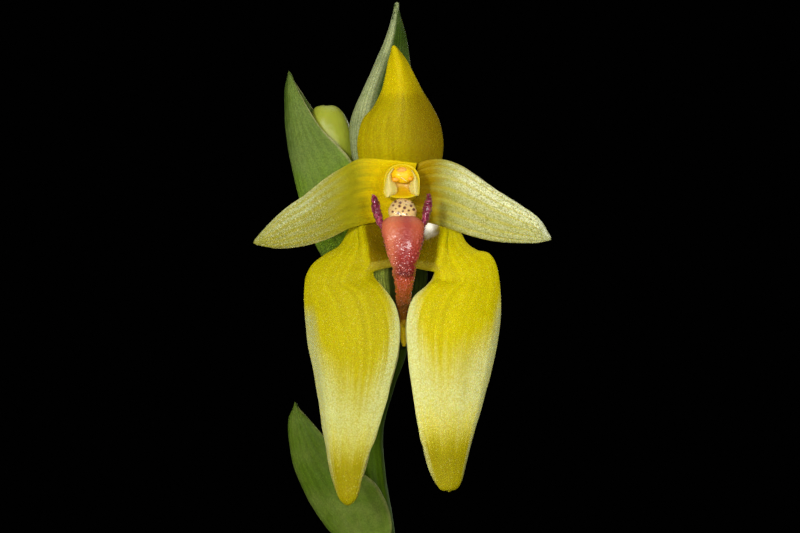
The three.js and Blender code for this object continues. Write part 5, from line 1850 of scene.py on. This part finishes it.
@dataclass
class Lip:
    """The hinged lip: a cream knee, a thick warty hanging tongue and a fringed lobe on each side."""

    sides: int = 160
    steps: int = 420
    ledge_height: float = -2.2
    crease_height: float = -10.1
    tip_height: float = -22.0
    warts: int = 1300
    spots: int = 17
    lobe_hairs: int = 90
    edge_hairs: int = 60

    def tongue_patch(self) -> Patch:
        """Makes the tongue.

        An oval section is carried forward out of the ledge and down to the tip. Small round warts,
        (1 - d squared) high within their radius, are scattered over it. A crease draws the tongue in at
        crease_height.
        """
        stations = np.array([
            [0.4, -4.4, -3.3, 1.6, 0.5], [0.4, -4.9, -3.3, 2.5, 0.95], [0.4, -5.8, -3.5, 3.0, 1.2],
            [0.42, -6.6, -4.4, 3.08, 1.3], [0.48, -6.95, -6.1, 2.78, 1.35], [0.55, -7.0, -7.9, 2.38, 1.3],
            [0.6, -6.7, -9.6, 1.92, 1.25], [0.6, -6.2, -11.2, 1.6, 1.15], [0.57, -5.3, -13.2, 1.22, 0.95],
            [0.52, -4.1, -15.3, 0.97, 0.75], [0.5, -2.7, -17.4, 0.84, 0.62], [0.55, -1.5, -19.3, 0.62, 0.52],
            [0.58, -0.9, -21.1, 0.48, 0.45], [0.6, -0.7, -21.9, 0.25, 0.25],
        ])
        path = seen(stations[:, :3])
        rings = rings_along(path, stations[:, 3], self.sides, self.steps, stations[:, 4])
        level = rings[..., 2]
        from_crease = level - self.crease_height - 0.25 * np.cos(3 * rings[..., 0])
        crease = np.exp(-((from_crease / 0.28) ** 2))
        rings = widened(rings, (1 - 0.09 * crease)[..., None])
        random = np.random.default_rng(12)
        place = random.random(self.warts)
        ring = (self.steps * (0.04 + 0.7 * place)).astype(int)
        turn = random.integers(0, self.sides, self.warts)
        hearts = rings[ring, turn]
        sizes = random.uniform(0.09, 0.2, self.warts) * (0.35 + 0.65 * step_between(0.1, 0.45, place))
        flat = rings.reshape(-1, 3)
        bump = np.zeros(len(flat))
        for heart, size in zip(hearts, sizes):
            near = ((flat - heart) ** 2).sum(axis=1) / size**2
            bump = np.maximum(bump, np.clip(1 - near, 0, 1) * size * 0.75)
        bump = bump.reshape(rings.shape[:2])
        rough = 0.05 * rough_noise(rings, 0.9, 31)
        made = rings + outwards(rings) * (bump + rough)[..., None]
        fall = (self.ledge_height - level) / (self.ledge_height - self.tip_height)
        masks = {
            "fall": fall,
            "wart": np.clip(bump / 0.06, 0, 1),
            "middle": np.exp(-(((rings[..., 0] - 1.0) / 0.9) ** 2)),
            # The left mask carries painted light on the tongue's left side.
            "left": np.exp(-(((rings[..., 0] + 1.4) / 0.8) ** 2)),
        }
        return tube(made, masks)

    def knee_patch(self) -> Patch:
        """Makes the knee, from the hinge on the column's foot over its dome and into the tongue.

        The mask "spot" is 1 on its round maroon spots, which lie in sunflower order over its front.
        """
        stations = np.array([
            [0.3, -1.5, -6.9, 0.8, 0.6], [0.3, -2.7, -4.4, 1.4, 0.7], [0.32, -3.4, -2.5, 1.9, 0.9],
            [0.35, -4.1, -0.8, 1.7, 1.0], [0.38, -5.0, -1.75, 2.1, 1.25], [0.4, -5.5, -3.4, 1.7, 0.8],
        ])
        rings = rings_along(seen(stations[:, :3]), stations[:, 3], 96, 150, stations[:, 4])
        rings = rings + outwards(rings) * 0.06 * rough_noise(rings, 0.8, 5)[..., None]
        number = np.arange(self.spots)
        reach = np.sqrt((number + 0.5) / self.spots)
        turn = number * GOLDEN_ANGLE
        spot = np.zeros(rings.shape[:2])
        across, up = 0.35 + 1.95 * reach * np.cos(turn), -1.3 + 1.3 * reach * np.sin(turn)
        for x, z, size in zip(across, up, 0.16 + 0.06 * np.cos(3 * turn)):
            away = np.hypot(rings[..., 0] - x, rings[..., 2] - z)
            spot = np.maximum(spot, step_between(size + 0.06, size - 0.03, away))
        return tube(rings, {"spot": spot * (rings[..., 1] < -3.4)})

    def lobe_patch(self, points: list) -> Patch:
        """Makes one side lobe: a narrow upright ear with a pointed top, rough with small knobs.

        Args:
            points: The stations of its middle line.

        Returns:
            The lobe, with the mask "tip" near 1 on its knobs and its foot, where a lighter magenta lies:
            painted highlights on the knobs.
        """
        sizes = np.array([0.3, 0.5, 0.62, 0.52, 0.18])
        share = even(110)[:, None]
        rings = rings_along(seen(points), sizes, 40, 110, 1.7 * sizes)
        knobs = rough_noise(rings, 0.34, 6, 2) * np.minimum(4 * share, 1)
        # The knobs get painted highlights through this mask.
        light = 0.6 * step_between(0.0, 0.6, knobs) + 0.4 * (1 - share)
        return tube(rings + outwards(rings) * 0.16 * knobs[..., None], {"tip": light})

    def fringe_patch(self, points: list, direction: float) -> Patch:
        """Makes the short thick hairs on a lobe and down the upper edge of the tongue.

        Args:
            points: The lobe's middle line.
            direction: -1 for the left lobe, 1 for the right one.

        Returns:
            The hairs.
        """
        random = np.random.default_rng(int(50 + direction))
        count = self.lobe_hairs
        share = random.uniform(0.25, 0.98, count)
        turn = random.uniform(0, 2 * np.pi, count)
        ways = unit(points_at(np.cos(turn), 0.8 * np.sin(turn) - 0.3, 0.5 + 0.5 * random.random(count)))
        thin = np.minimum(1, 4 * (1 - share))[:, None]
        roots = smooth(seen(points), share) + ways * np.array([0.3, 0.55, 0.1]) * thin
        tips = roots + ways * random.uniform(0.16, 0.38, count)[:, None]
        edge_path = seen([
            [0.42 + direction * 3.1, -5.9, -4.0], [0.5 + direction * 2.7, -6.6, -6.0],
            [0.56 + direction * 2.3, -6.7, -7.6],
        ])
        edge = smooth(edge_path, random.uniform(0, 1, self.edge_hairs))
        spread = random.uniform((-0.6, -0.2), (0.3, 0.8), (self.edge_hairs, 2))
        away = unit(np.concatenate([np.full((self.edge_hairs, 1), direction), spread], axis=1))
        edge_tips = edge + away * random.uniform(0.22, 0.5, self.edge_hairs)[:, None]
        starts, ends = np.concatenate([roots, edge]), np.concatenate([tips, edge_tips])
        return strands(starts, ends, random.normal(0, 0.03, starts.shape), 0.085, sides=6, steps=5)

    def build(self, effects: SharedEffects) -> None:
        """Makes the lip's pieces."""
        # Its second colour, a lighter magenta, lies on the hairs' tips and on the lobes' knobs, where it is
        # painted highlight.
        magenta = PlainFlesh(
            "lobe_magenta", shown(88, 8, 28), shown(176, 74, 104), surface=Surface.WET, pitch=0.5, depth=0.6,
            flesh=0.1,
        )
        left = [
            [-2.4, -5.6, -4.6], [-3, -5.3, -3.3], [-3.5, -5.1, -1.6], [-3.8, -4.9, -0.2],
            [-3.95, -4.8, 0.75],
        ]
        right = [
            [3.1, -5.6, -4.4], [3.8, -5.3, -3], [4.05, -5.1, -1.6], [4.3, -4.9, -0.2], [4.25, -4.8, 0.85],
        ]
        lobes = [self.lobe_patch(left), self.lobe_patch(right)]
        fringes = [self.fringe_patch(left, -1.0), self.fringe_patch(right, 1.0)]
        pieces = {
            "tongue": (self.tongue_patch(), LipFinish()), "knee": (self.knee_patch(), SpottedFinish()),
            "side_lobes": (joined(lobes + fringes), magenta),
        }
        for name, (made, look) in pieces.items():
            place_piece(f"lip_{name}", made.moved(HEART), look.material(effects), "lip", "lip")


# The pot and the plant's lower part


class Draw:
    """A small seeded source of even random numbers from 0 to 1, the same as the solids use."""

    def __init__(self, seed: int) -> None:
        """Starts the row of numbers."""
        self.state = seed

    def next(self, low: float = 0.0, high: float = 1.0) -> float:
        """Gives the next number between low and high."""
        self.state = (self.state * 1664525 + 1013904223) % 4294967296
        return low + (high - low) * self.state / 4294967296


@dataclass
class Pot:
    """The clay pot with its rim band and its drain holes, filled with bark mix."""

    height: float = 104.0
    rim_radius: float = 70.0
    rim_depth: float = 24.0
    foot_radius: float = 48.0
    wall: float = 7.0
    hole_radius: float = 5.0
    hole_circle: float = 27.0
    hole_count: int = 5
    mix_level: float = 88.0
    mix_dome: float = 3.0
    chip_count: int = 34
    small_chips: int = 420

    def inner_radius(self, height: Array | float) -> Array | float:
        """Gives the inner wall's radius at a height, straight from floor to mouth."""
        share = (height - self.wall) / (self.height - self.wall)
        return self.foot_radius - self.wall + (self.rim_radius - self.foot_radius) * share

    def profile(self) -> Array:
        """Gives the wall's outline from the middle of the foot, round the rim and back to the floor."""
        band = self.height - self.rim_depth
        wall_top = self.inner_radius(band) + self.wall
        corners = [
            (2, 0, 0), (self.foot_radius, 0, 1.8), (wall_top, band, 2.5), (self.rim_radius, band, 1.8),
            (self.rim_radius, self.height, 2.4), (self.inner_radius(self.height), self.height, 2.2),
            (self.inner_radius(self.wall), self.wall, 3.0), (2, self.wall, 0),
        ]
        points = [np.array(corners[0][:2], float)[None]]
        for before, here, after in zip(corners, corners[1:], corners[2:]):
            corner = np.array(here[:2], float)
            start = corner + unit(np.array(before[:2], float) - corner) * here[2]
            end = corner + unit(np.array(after[:2], float) - corner) * here[2]
            t = even(6)[:, None]
            points.append((1 - t) ** 2 * start + 2 * t * (1 - t) * corner + t**2 * end)
        points.append(np.array(corners[-1][:2], float)[None])
        outline = np.concatenate(points)
        fine = [outline[:1]]
        for start, end in zip(outline, outline[1:]):
            pieces = max(1, int(np.linalg.norm(end - start) / 2.0))
            fine.append(start + (end - start) * even(pieces)[1:, None])
        return np.concatenate(fine)

    def pot_object(self, material: Material) -> bpy.types.Object:
        """Makes the pot: the outline turned round the axis, a little uneven, with its holes cut out.

        Args:
            material: The pot's finish.

        Returns:
            The pot's piece.
        """
        rings = turned_round(*self.profile().T, 168)
        above_foot = rings[..., 2] > 1.0
        rings[..., :2] *= 1 + (0.0022 * lattice_noise(rings, 34.0, 2) * above_foot)[..., None]
        made = place_piece("clay_pot", tube(rings).turned_out(), material, "clay", "pot")
        cutters = []
        for turn in circle(self.hole_count):
            x, y = self.hole_circle * np.cos(turn), self.hole_circle * np.sin(turn)
            path = points_at(x, y, np.array([-6.0, 4.0, 14.0]))
            cutters.append(tube(rings_along(path, [self.hole_radius] * 3, 36, 4)).turned_out())
        cutter = make_object("hole_cutter", joined(cutters), material)
        cut = made.modifiers.new("holes", "BOOLEAN")
        cut.object, cut.operation, cut.solver = cutter, "DIFFERENCE", "EXACT"
        graph = bpy.context.evaluated_depsgraph_get()
        whole = bpy.data.meshes.new_from_object(made.evaluated_get(graph))
        made.modifiers.clear()
        made.data = whole
        bpy.data.objects.remove(cutter)
        return made

    def mix_top(self, distance: Array | float) -> Array | float:
        """Gives the height of the mix's domed top at a distance from the pot's axis."""
        return self.mix_level + self.mix_dome * (1 - (distance / self.inner_radius(self.mix_level)) ** 2)

    def chip_patch(
        self, middle: Array, size: Array, turn: tuple, shade: float, fineness: int, seed: int
    ) -> Patch:
        """Makes one bark chip: a rough five-sided block, split along its layers.

        Args:
            middle: Its middle.
            size: Its length, width and height.
            turn: Its turns about X, Y and Z, in radians.
            shade: Its lightness, from 0 to 1.
            fineness: Steps on each side of the block.
            seed: The seed of its roughness.

        Returns:
            The chip.
        """
        angle = circle(5 * fineness)
        slice_turn = (angle + np.pi / 2) % (2 * np.pi / 5) - np.pi / 5
        corner = np.cos(np.pi / 5) / np.cos(slice_turn)
        level = np.linspace(-0.5, 0.5, 2 * fineness + 1)[:, None]
        reach = (0.49 - 0.13 * level) * np.where(np.abs(level) > 0.49, 0.86, 1.0) * corner
        block = points_at(reach * np.cos(angle), reach * np.sin(angle), level) * size
        rough = rough_noise(block, size.min() * 0.6, seed)
        layers = np.cos(block[..., 2] * 26 / size[2] + seed)
        block[..., :2] *= (1 + 0.07 * rough + 0.04 * layers)[..., None]
        block[..., 2] += 0.049 * size.min() * rough
        placed = block @ np.array(Euler(turn, "ZYX").to_matrix()).T + middle
        return tube(placed, {"shade": shade}).turned_out()

    def sunflower_place(self, number: int, count: int, reach: float, turn: float) -> Array:
        """Gives one of the places that spread evenly over the mix, like the seeds of a sunflower.

        Args:
            number: The place's number, from 0 in the middle.
            count: How many places there are.
            reach: The radius that they fill.
            turn: The angle of the first, in radians.

        Returns:
            The place on top of the mix.
        """
        distance, angle = reach * math.sqrt((number + 0.5) / count), number * GOLDEN_ANGLE + turn
        return np.array([distance * math.cos(angle), distance * math.sin(angle), self.mix_top(distance)])

    def mix_patch(self) -> Patch:
        """Makes the mix: its rough domed body and the large chips of the solid, in sunflower order."""
        floor = self.wall + 0.3
        edge = self.inner_radius(self.mix_level) - 0.3
        under, wall, top = (np.linspace(0, 1, steps) for steps in (8, 20, 44))
        inner = self.inner_radius(floor + (self.mix_level - floor) * wall)
        radius = np.concatenate([2 + (inner[0] - 2.6) * under, inner - 0.6, edge + (1 - edge) * top])
        level = np.concatenate([
            floor + 0 * under, floor + (self.mix_level - 1.5 - floor) * wall,
            self.mix_top(edge + (1 - edge) * top) - 1.0,
        ])
        rings = turned_round(radius, level, 150)
        rings[-len(top):, :, 2] += rough_noise(rings[-len(top):], 7.0, 3, 4)
        patches = [tube(rings, {"shade": 0.1}).turned_out()]
        draw = Draw(7)
        tones = np.random.default_rng(4)
        for chip in range(self.chip_count):
            middle = self.sunflower_place(chip, self.chip_count, edge - 12, 0.0) - [0, 0, 0.8]
            size = np.array([draw.next(12, 18), draw.next(8, 13), draw.next(6, 9)])
            turn = (draw.next(-0.4, 0.4), draw.next(-0.4, 0.4), draw.next() * 6.28)
            patches.append(self.chip_patch(middle, size, turn, tones.uniform(0.15, 1), 6, chip))
        return joined(patches)

    def small_patch(self) -> Patch:
        """Makes the small broken bits of bark between the chips."""
        random = np.random.default_rng(9)
        patches = []
        edge = self.inner_radius(self.mix_level) - 4
        for bit in range(self.small_chips):
            length = random.uniform(2.5, 7.5)
            size = length * np.array([1, random.uniform(0.45, 0.8), random.uniform(0.3, 0.6)])
            middle = self.sunflower_place(bit, self.small_chips, edge, 1.7)
            middle[2] += random.uniform(-0.8, 1.6)
            turn = (random.uniform(-0.7, 0.7), random.uniform(-0.7, 0.7), random.uniform(0, 6.28))
            patches.append(self.chip_patch(middle, size, turn, random.uniform(0, 1), 1, bit))
        return joined(patches)

    def build(self, effects: SharedEffects) -> None:
        """Makes the pot and its filling."""
        self.pot_object(ClayFinish().material(effects))
        bark = BarkFinish().material(effects)
        place_piece("bark_mix", self.mix_patch(), bark, "bark", "potting_mix")
        place_piece("bark_bits", self.small_patch(), bark, "bark", "potting_mix")


@dataclass(frozen=True)
class Growth:
    """One pseudobulb with its leaf: its place, height, and the leaf's stance and size."""

    x: float
    y: float
    height: float
    heading: float
    lean: float
    bend: float
    length: float
    width: float


GROWTHS = (
    Growth(-45, -4, 29, 187, 24, 52, 142, 19),
    Growth(-20, 10, 33, 128, 14, 40, 158, 22),
    Growth(3, -11, 34, 243, 20, 44, 162, 23),
    Growth(32, -2, 33, 318, 16, 46, 166, 23),
    Growth(43, 22, 27, 42, 22, 34, 132, 18),
)


@dataclass
class PlantBase:
    """The creeping rhizome with its roots, and the pseudobulbs with a leaf each."""

    rhizome_level: float = 92.5
    rhizome_radius: float = 3.0
    bulb_radius: float = 9.0
    full_height: float = 34.0
    ridges: int = 6
    leaf_thickness: float = 1.3
    stalk_share: float = 0.1
    stalk_half: float = 1.9
    leaf_stations: int = 15
    leaf_gap: float = 0.42

    def bulb_foot(self) -> float:
        """Gives the height of a pseudobulb's foot."""
        return self.rhizome_level + self.rhizome_radius - 2.2

    def bulb_size(self, growth: Growth) -> float:
        """Gives a pseudobulb's radius, in step with its height."""
        return self.bulb_radius * growth.height / self.full_height

    def foot_place(self, growth: Growth) -> Array:
        """Gives the middle of a pseudobulb's foot."""
        return np.array([growth.x, growth.y, self.bulb_foot()])

    def bulb_patch(self, growth: Growth, seed: int) -> Patch:
        """Makes one pseudobulb: an egg-shaped cone with blunt ridges and fine wrinkles.

        Args:
            growth: The growth that it belongs to.
            seed: The seed of its wrinkles.

        Returns:
            The pseudobulb, with the mask "tip" rising from 0 at its foot to 1.
        """
        levels = even(72)
        width = np.interp(levels, [0, 0.1, 0.3, 0.52, 0.75, 0.92, 1], [0.62, 0.92, 1, 0.86, 0.6, 0.38, 0.32])
        width = np.convolve(np.pad(width, 4, "edge"), np.ones(9) / 9, "valid")[:, None]
        levels = levels[:, None]
        angle = circle(108)
        wave = np.cos(self.ridges * angle + 0.25 * levels)
        ridge = 1 + 0.09 * np.sign(wave) * np.abs(wave) ** 0.8 * np.sin(np.pi * np.minimum(levels + 0.1, 1))
        way = points_at(np.cos(angle), np.sin(angle), 0.0)
        radius = self.bulb_size(growth) * width * ridge
        rings = self.foot_place(growth) + radius[..., None] * way
        rings[..., 2] += levels * growth.height
        wrinkle = 0.12 * rough_noise(rings * [1, 1, 0.3], 2.4, seed)
        return tube(rings + wrinkle[..., None] * way, {"tip": levels})

    def fibre_patch(self, growth: Growth, seed: int) -> Patch:
        """Makes the dry fibres of the old sheath that stand round a pseudobulb's foot.

        Args:
            growth: The growth that they belong to.
            seed: The seed of their places.

        Returns:
            The fibres.
        """
        random = np.random.default_rng(seed)
        count = 90
        angle = random.uniform(0, 2 * np.pi, count)
        way = points_at(np.cos(angle), np.sin(angle), 0.0)
        base, radius = self.foot_place(growth), self.bulb_size(growth)
        roots = base + way * radius * 0.72
        height = random.uniform(3, 10, count) * growth.height / self.full_height
        tips = base + way * radius * random.uniform(1.04, 1.2, count)[:, None]
        tips[:, 2] += height
        sag = way * random.uniform(0.5, 1.4, count)[:, None]
        return strands(roots, tips, sag, 0.28, sides=4, steps=6)

    def leaf_tilt(self, growth: Growth, share: Array) -> Array:
        """Gives a leaf's tilt from upright: lean, reached along its stalk, and bend times share squared."""
        return np.radians(growth.lean * np.minimum(share / self.stalk_share, 1) + growth.bend * share**2)

    def leaf_patch(self, growth: Growth, seed: int) -> Patch:
        """Makes one leaf: a short stalk that widens into a channelled blade with a blunt tip.

        The middle line is the solid's, smooth through its stations. The half width is a power of a
        sine of the share, and both halves rise from a sunken midrib.

        Args:
            growth: The growth that it belongs to.
            seed: The seed of its waves.

        Returns:
            The leaf.
        """
        share = even(150)[:, None]
        tilt = self.leaf_tilt(growth, share)
        turn = math.radians(growth.heading)
        forward = np.array([math.cos(turn), math.sin(turn), 0])
        sideways = np.array([-math.sin(turn), math.cos(turn), 0])
        up = np.array([0, 0, 1.0])
        upper = up * np.sin(tilt) - forward * np.cos(tilt)
        stations = self.leaf_tilt(growth, even(self.leaf_stations)[1:])[:, None]
        steps = (forward * np.sin(stations) + up * np.cos(stations)) * growth.length / self.leaf_stations
        start = self.foot_place(growth) + up * (growth.height + self.leaf_gap)
        middle = smooth(start + np.concatenate([np.zeros((1, 3)), np.cumsum(steps, axis=0)]), share[:, 0])
        part = np.maximum((share - self.stalk_share) / (1 - self.stalk_share), 0)
        belly = np.sin(np.pi * part**0.85).clip(0) ** 0.75
        half = self.stalk_half + (growth.width - self.stalk_half) * belly
        half = half * np.sqrt(np.clip(1 - np.clip((share - 0.985) / 0.0155, 0, 1) ** 2, 0, 1)) + THINNEST
        channel = 0.75 - 0.49 * np.minimum(part * 3, 1)
        across = 2 * crowded_ends(56, 0.5) - 1
        side = np.abs(across)
        lift = half * (channel * side**1.4 - 0.12 * side**4)
        groove = -0.35 * np.exp(-((side * half / 1.1) ** 2)) * np.minimum(part * 8, 1)
        wave = 0.9 * lattice_noise(points_at(across * 1.2, share * 7, seed), 1.0, seed)
        rise = lift + groove + wave * side**2 * np.sin(np.pi * part)
        grid = middle[:, None] + (across * half)[..., None] * sideways + rise[..., None] * upper[:, None]
        thick = self.leaf_thickness / 2 * (0.35 + 0.65 * np.sqrt(np.clip(1 - side**5, 0, 1)))
        return blade(grid, thick * np.minimum(half / 1.5, 1))

    def rhizome_patch(self) -> Patch:
        """Makes the rhizome, with a scale's ring at every node."""
        level, steps, nodes = self.rhizome_level, 420, 30
        path = [[-56, -9, 90.0], *[[growth.x, growth.y, level] for growth in GROWTHS], [45, 35, level]]
        radii = [1.6, *[self.rhizome_radius] * len(GROWTHS), 1.6]
        rings = rings_along(path, radii, 40, steps, width_axis=(0, 0, 1))
        node = np.abs(np.sin(np.pi * nodes * even(steps)))[:, None]
        size = 0.95 + 0.1 * (1 - node) ** 4 + 0.05 * rough_noise(rings, 1.8, 6)
        return tube(widened(rings, size[..., None]))

    def root_patch(self) -> Patch:
        """Makes the roots that run from the rhizome down into the mix."""
        patches = []
        random = np.random.default_rng(3)
        for index, growth in enumerate(GROWTHS):
            for side in (-1, 1):
                spread = 9 + 1.2 * index
                points = np.array([
                    [growth.x, growth.y + side, self.rhizome_level - 1],
                    [growth.x + 3 * side, growth.y + side * spread * 0.6, 90.0],
                    [growth.x + 5 * side - growth.x * 0.08, growth.y + side * spread, 81.0],
                ])
                rings = rings_along(points, [1.3, 1.1, 0.7], 16, 60)
                patches.append(tube(rings + 0.12 * rough_noise(rings, 1.2, index + side)[..., None]))
        for index in range(16):
            growth = GROWTHS[index % len(GROWTHS)]
            turn = random.uniform(0, 2 * np.pi)
            way = np.array([math.cos(turn), math.sin(turn), 0])
            start = np.array([growth.x, growth.y, self.rhizome_level - 1])
            reach = way * random.uniform(12, 20)
            points = start + [way * 2, 0.4 * reach - [0, 0, 0.2], reach - [0, 0, 9]]
            rings = rings_along(points, [0.8, 0.7, 0.5], 10, 40)
            patches.append(tube(rings + 0.1 * rough_noise(rings, 1.5, index)[..., None]))
        return joined(patches)

    def build(self, effects: SharedEffects) -> None:
        """Makes the lower part of the plant."""
        bulb = GreenFinish(
            "bulb_green", green=shown(116, 138, 48), dark=shown(78, 100, 28), bloom=shown(158, 162, 78),
            margin=shown(116, 138, 48), vein_count=42, vein_depth=0.05, margin_width=0.0, blotch=9.0,
            surface=Surface.WAXY, flesh=0.15,
        ).material(effects)
        leaf = GreenFinish(
            "leaf_green", green=shown(70, 104, 34), dark=shown(46, 78, 20), bloom=shown(104, 130, 56),
            margin=shown(128, 144, 64), vein_count=22, vein_depth=0.04, margin_width=0.02, blotch=16.0,
            bloom_share=0.4, flesh=0.12, grain_depth=0.001,
        ).material(effects)
        dry = {"surface": Surface.DRY, "flesh": 0.0}
        fibre = PlainFlesh(
            "sheath_fibre", shown(126, 96, 58), shown(190, 166, 118), pitch=2.0, **dry
        ).material(effects)
        for index, growth in enumerate(GROWTHS, start=1):
            node = f"pseudobulb_{index}"
            place_piece(f"ridged_bulb_{index}", self.bulb_patch(growth, index), bulb, "bulb", node)
            place_piece(f"bulb_fibres_{index}", self.fibre_patch(growth, index), fibre, "sheath", node)
            made = self.leaf_patch(growth, index)
            place_piece(f"arching_leaf_{index}", made, leaf, "leaf", f"leaf_{index}")
        scaly = PlainFlesh("rhizome_scales", shown(122, 104, 58), pitch=3.0, depth=0.6, **dry)
        place_piece("scaly_rhizome", self.rhizome_patch(), scaly.material(effects), "rhizome", "rhizome")
        roots = PlainFlesh("root_grey", shown(168, 158, 128), pitch=2.0, depth=0.5, **dry)
        place_piece("pale_roots", self.root_patch(), roots.material(effects), "rhizome", "rhizome")


# The studio


@dataclass
class Studio:
    """A plain pale floor, soft lamps and the camera at the photograph's viewing angle."""

    floor_radius: float = 600.0
    camera_height: float = 362.025
    focal_length: float = 129.0

    def floor(self) -> None:
        """Makes the round pale floor."""
        radius = np.array([self.floor_radius, self.floor_radius, 1.0])
        rings = turned_round(radius, np.array([-12.0, -0.05, -0.05]), 96)
        material = bpy.data.materials.new("pale_floor")
        material.use_nodes = True
        graph = Graph(material.node_tree)
        shader = material.node_tree.nodes["Principled BSDF"]
        shader.inputs["Roughness"].default_value = 0.75
        cloud = graph.noise(graph.object_place(), 6.0, 4.0)
        graph.feed(shader.inputs["Base Color"], graph.mix(cloud, (0.33, 0.322, 0.31), (0.38, 0.372, 0.36)))
        make_object("studio_floor", tube(rings).turned_out(), material)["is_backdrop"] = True

    def lamp(
        self, name: str, place: tuple, target: tuple, size: float, power: float, colour: Colour,
        spread: float,
    ) -> None:
        """Hangs one square soft lamp.

        Args:
            name: The lamp's name.
            place: Where it hangs, in millimetres.
            target: The point that it faces.
            size: The length of its side.
            power: Its power in watts.
            colour: The colour of its light.
            spread: The angle that its light fans out to, in degrees.
        """
        light = bpy.data.lights.new(name, "AREA")
        light.size = size * MM
        light.energy = power
        light.color = colour
        light.spread = math.radians(spread)
        made = bpy.data.objects.new(name, light)
        bpy.context.scene.collection.objects.link(made)
        where, aim = np.array(place, float), np.array(target, float)
        made.location = tuple(where * MM)
        made.rotation_euler = Vector(aim - where).to_track_quat("-Z", "Y").to_euler()

    def world(self) -> None:
        """Makes the surroundings: black as seen by the camera, and a dim grey light on the object."""
        world = bpy.data.worlds.new("studio_dark")
        bpy.context.scene.world = world
        world.use_nodes = True
        graph = Graph(world.node_tree)
        background = world.node_tree.nodes["Background"]
        camera_ray = graph.add("ShaderNodeLightPath").outputs["Is Camera Ray"]
        colour = graph.mix(camera_ray, (0.9, 0.95, 1.0), (0.004, 0.004, 0.004))
        graph.feed(background.inputs["Color"], colour)
        background.inputs["Strength"].default_value = 0.07

    def camera(self) -> None:
        """Makes the camera, level with the flower's lower half and looking along +Y."""
        data = bpy.data.cameras.new("studio_camera")
        data.lens = self.focal_length
        data.sensor_width = 36.0
        data.clip_start, data.clip_end = 0.01, 20.0
        made = bpy.data.objects.new("studio_camera", data)
        bpy.context.scene.collection.objects.link(made)
        made.location = (0.0, -VIEWING_DISTANCE * MM, self.camera_height * MM)
        made.rotation_euler = (math.pi / 2, 0.0, 0.0)
        bpy.context.scene.camera = made

    def build(self) -> None:
        """Makes the studio."""
        self.floor()
        heart = (0.0, 0.0, FLOWER_HEIGHT - 8)
        self.lamp("key_lamp", (-230, -560, 480), heart, 90, 2.0, (1.0, 0.98, 0.94), 180)
        self.lamp("fill_lamp", (190, -580, 392), heart, 160, 1.35, (1.0, 0.98, 0.95), 180)
        self.lamp("front_lamp", (-20, -600, 384), heart, 60, 0.7, (1.0, 0.98, 0.95), 180)
        self.lamp("top_lamp", (60, 160, 900), heart, 420, 0.8, (1.0, 1.0, 1.0), 180)
        self.lamp("low_lamp", (-460, -620, 400), (0, 0, 0), 240, 1.2, (1.0, 0.98, 0.95), 44)
        self.lamp("back_lamp", (330, 640, 330), (0, 0, -20), 400, 0.6, (0.97, 0.98, 1.0), 44)
        self.world()
        self.camera()


def main(solid_box: tuple) -> None:
    """Builds the whole dressed orchid in order.

    Args:
        solid_box: The lowest and the highest corner of the solids; it is not used.
    """
    logging.basicConfig(level=logging.INFO, format="%(name)s: %(message)s")
    bpy.context.scene.view_settings.view_transform = "Standard"
    effects = SharedEffects()
    for part in (Pot(), PlantBase(), Stalk(), Bracts(), Sepals(), Petals(), Column(), Lip()):
        log.info("building %s", type(part).__name__)
        part.build(effects)
    Studio().build()


if __name__ == "__main__":
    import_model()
    main(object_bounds())
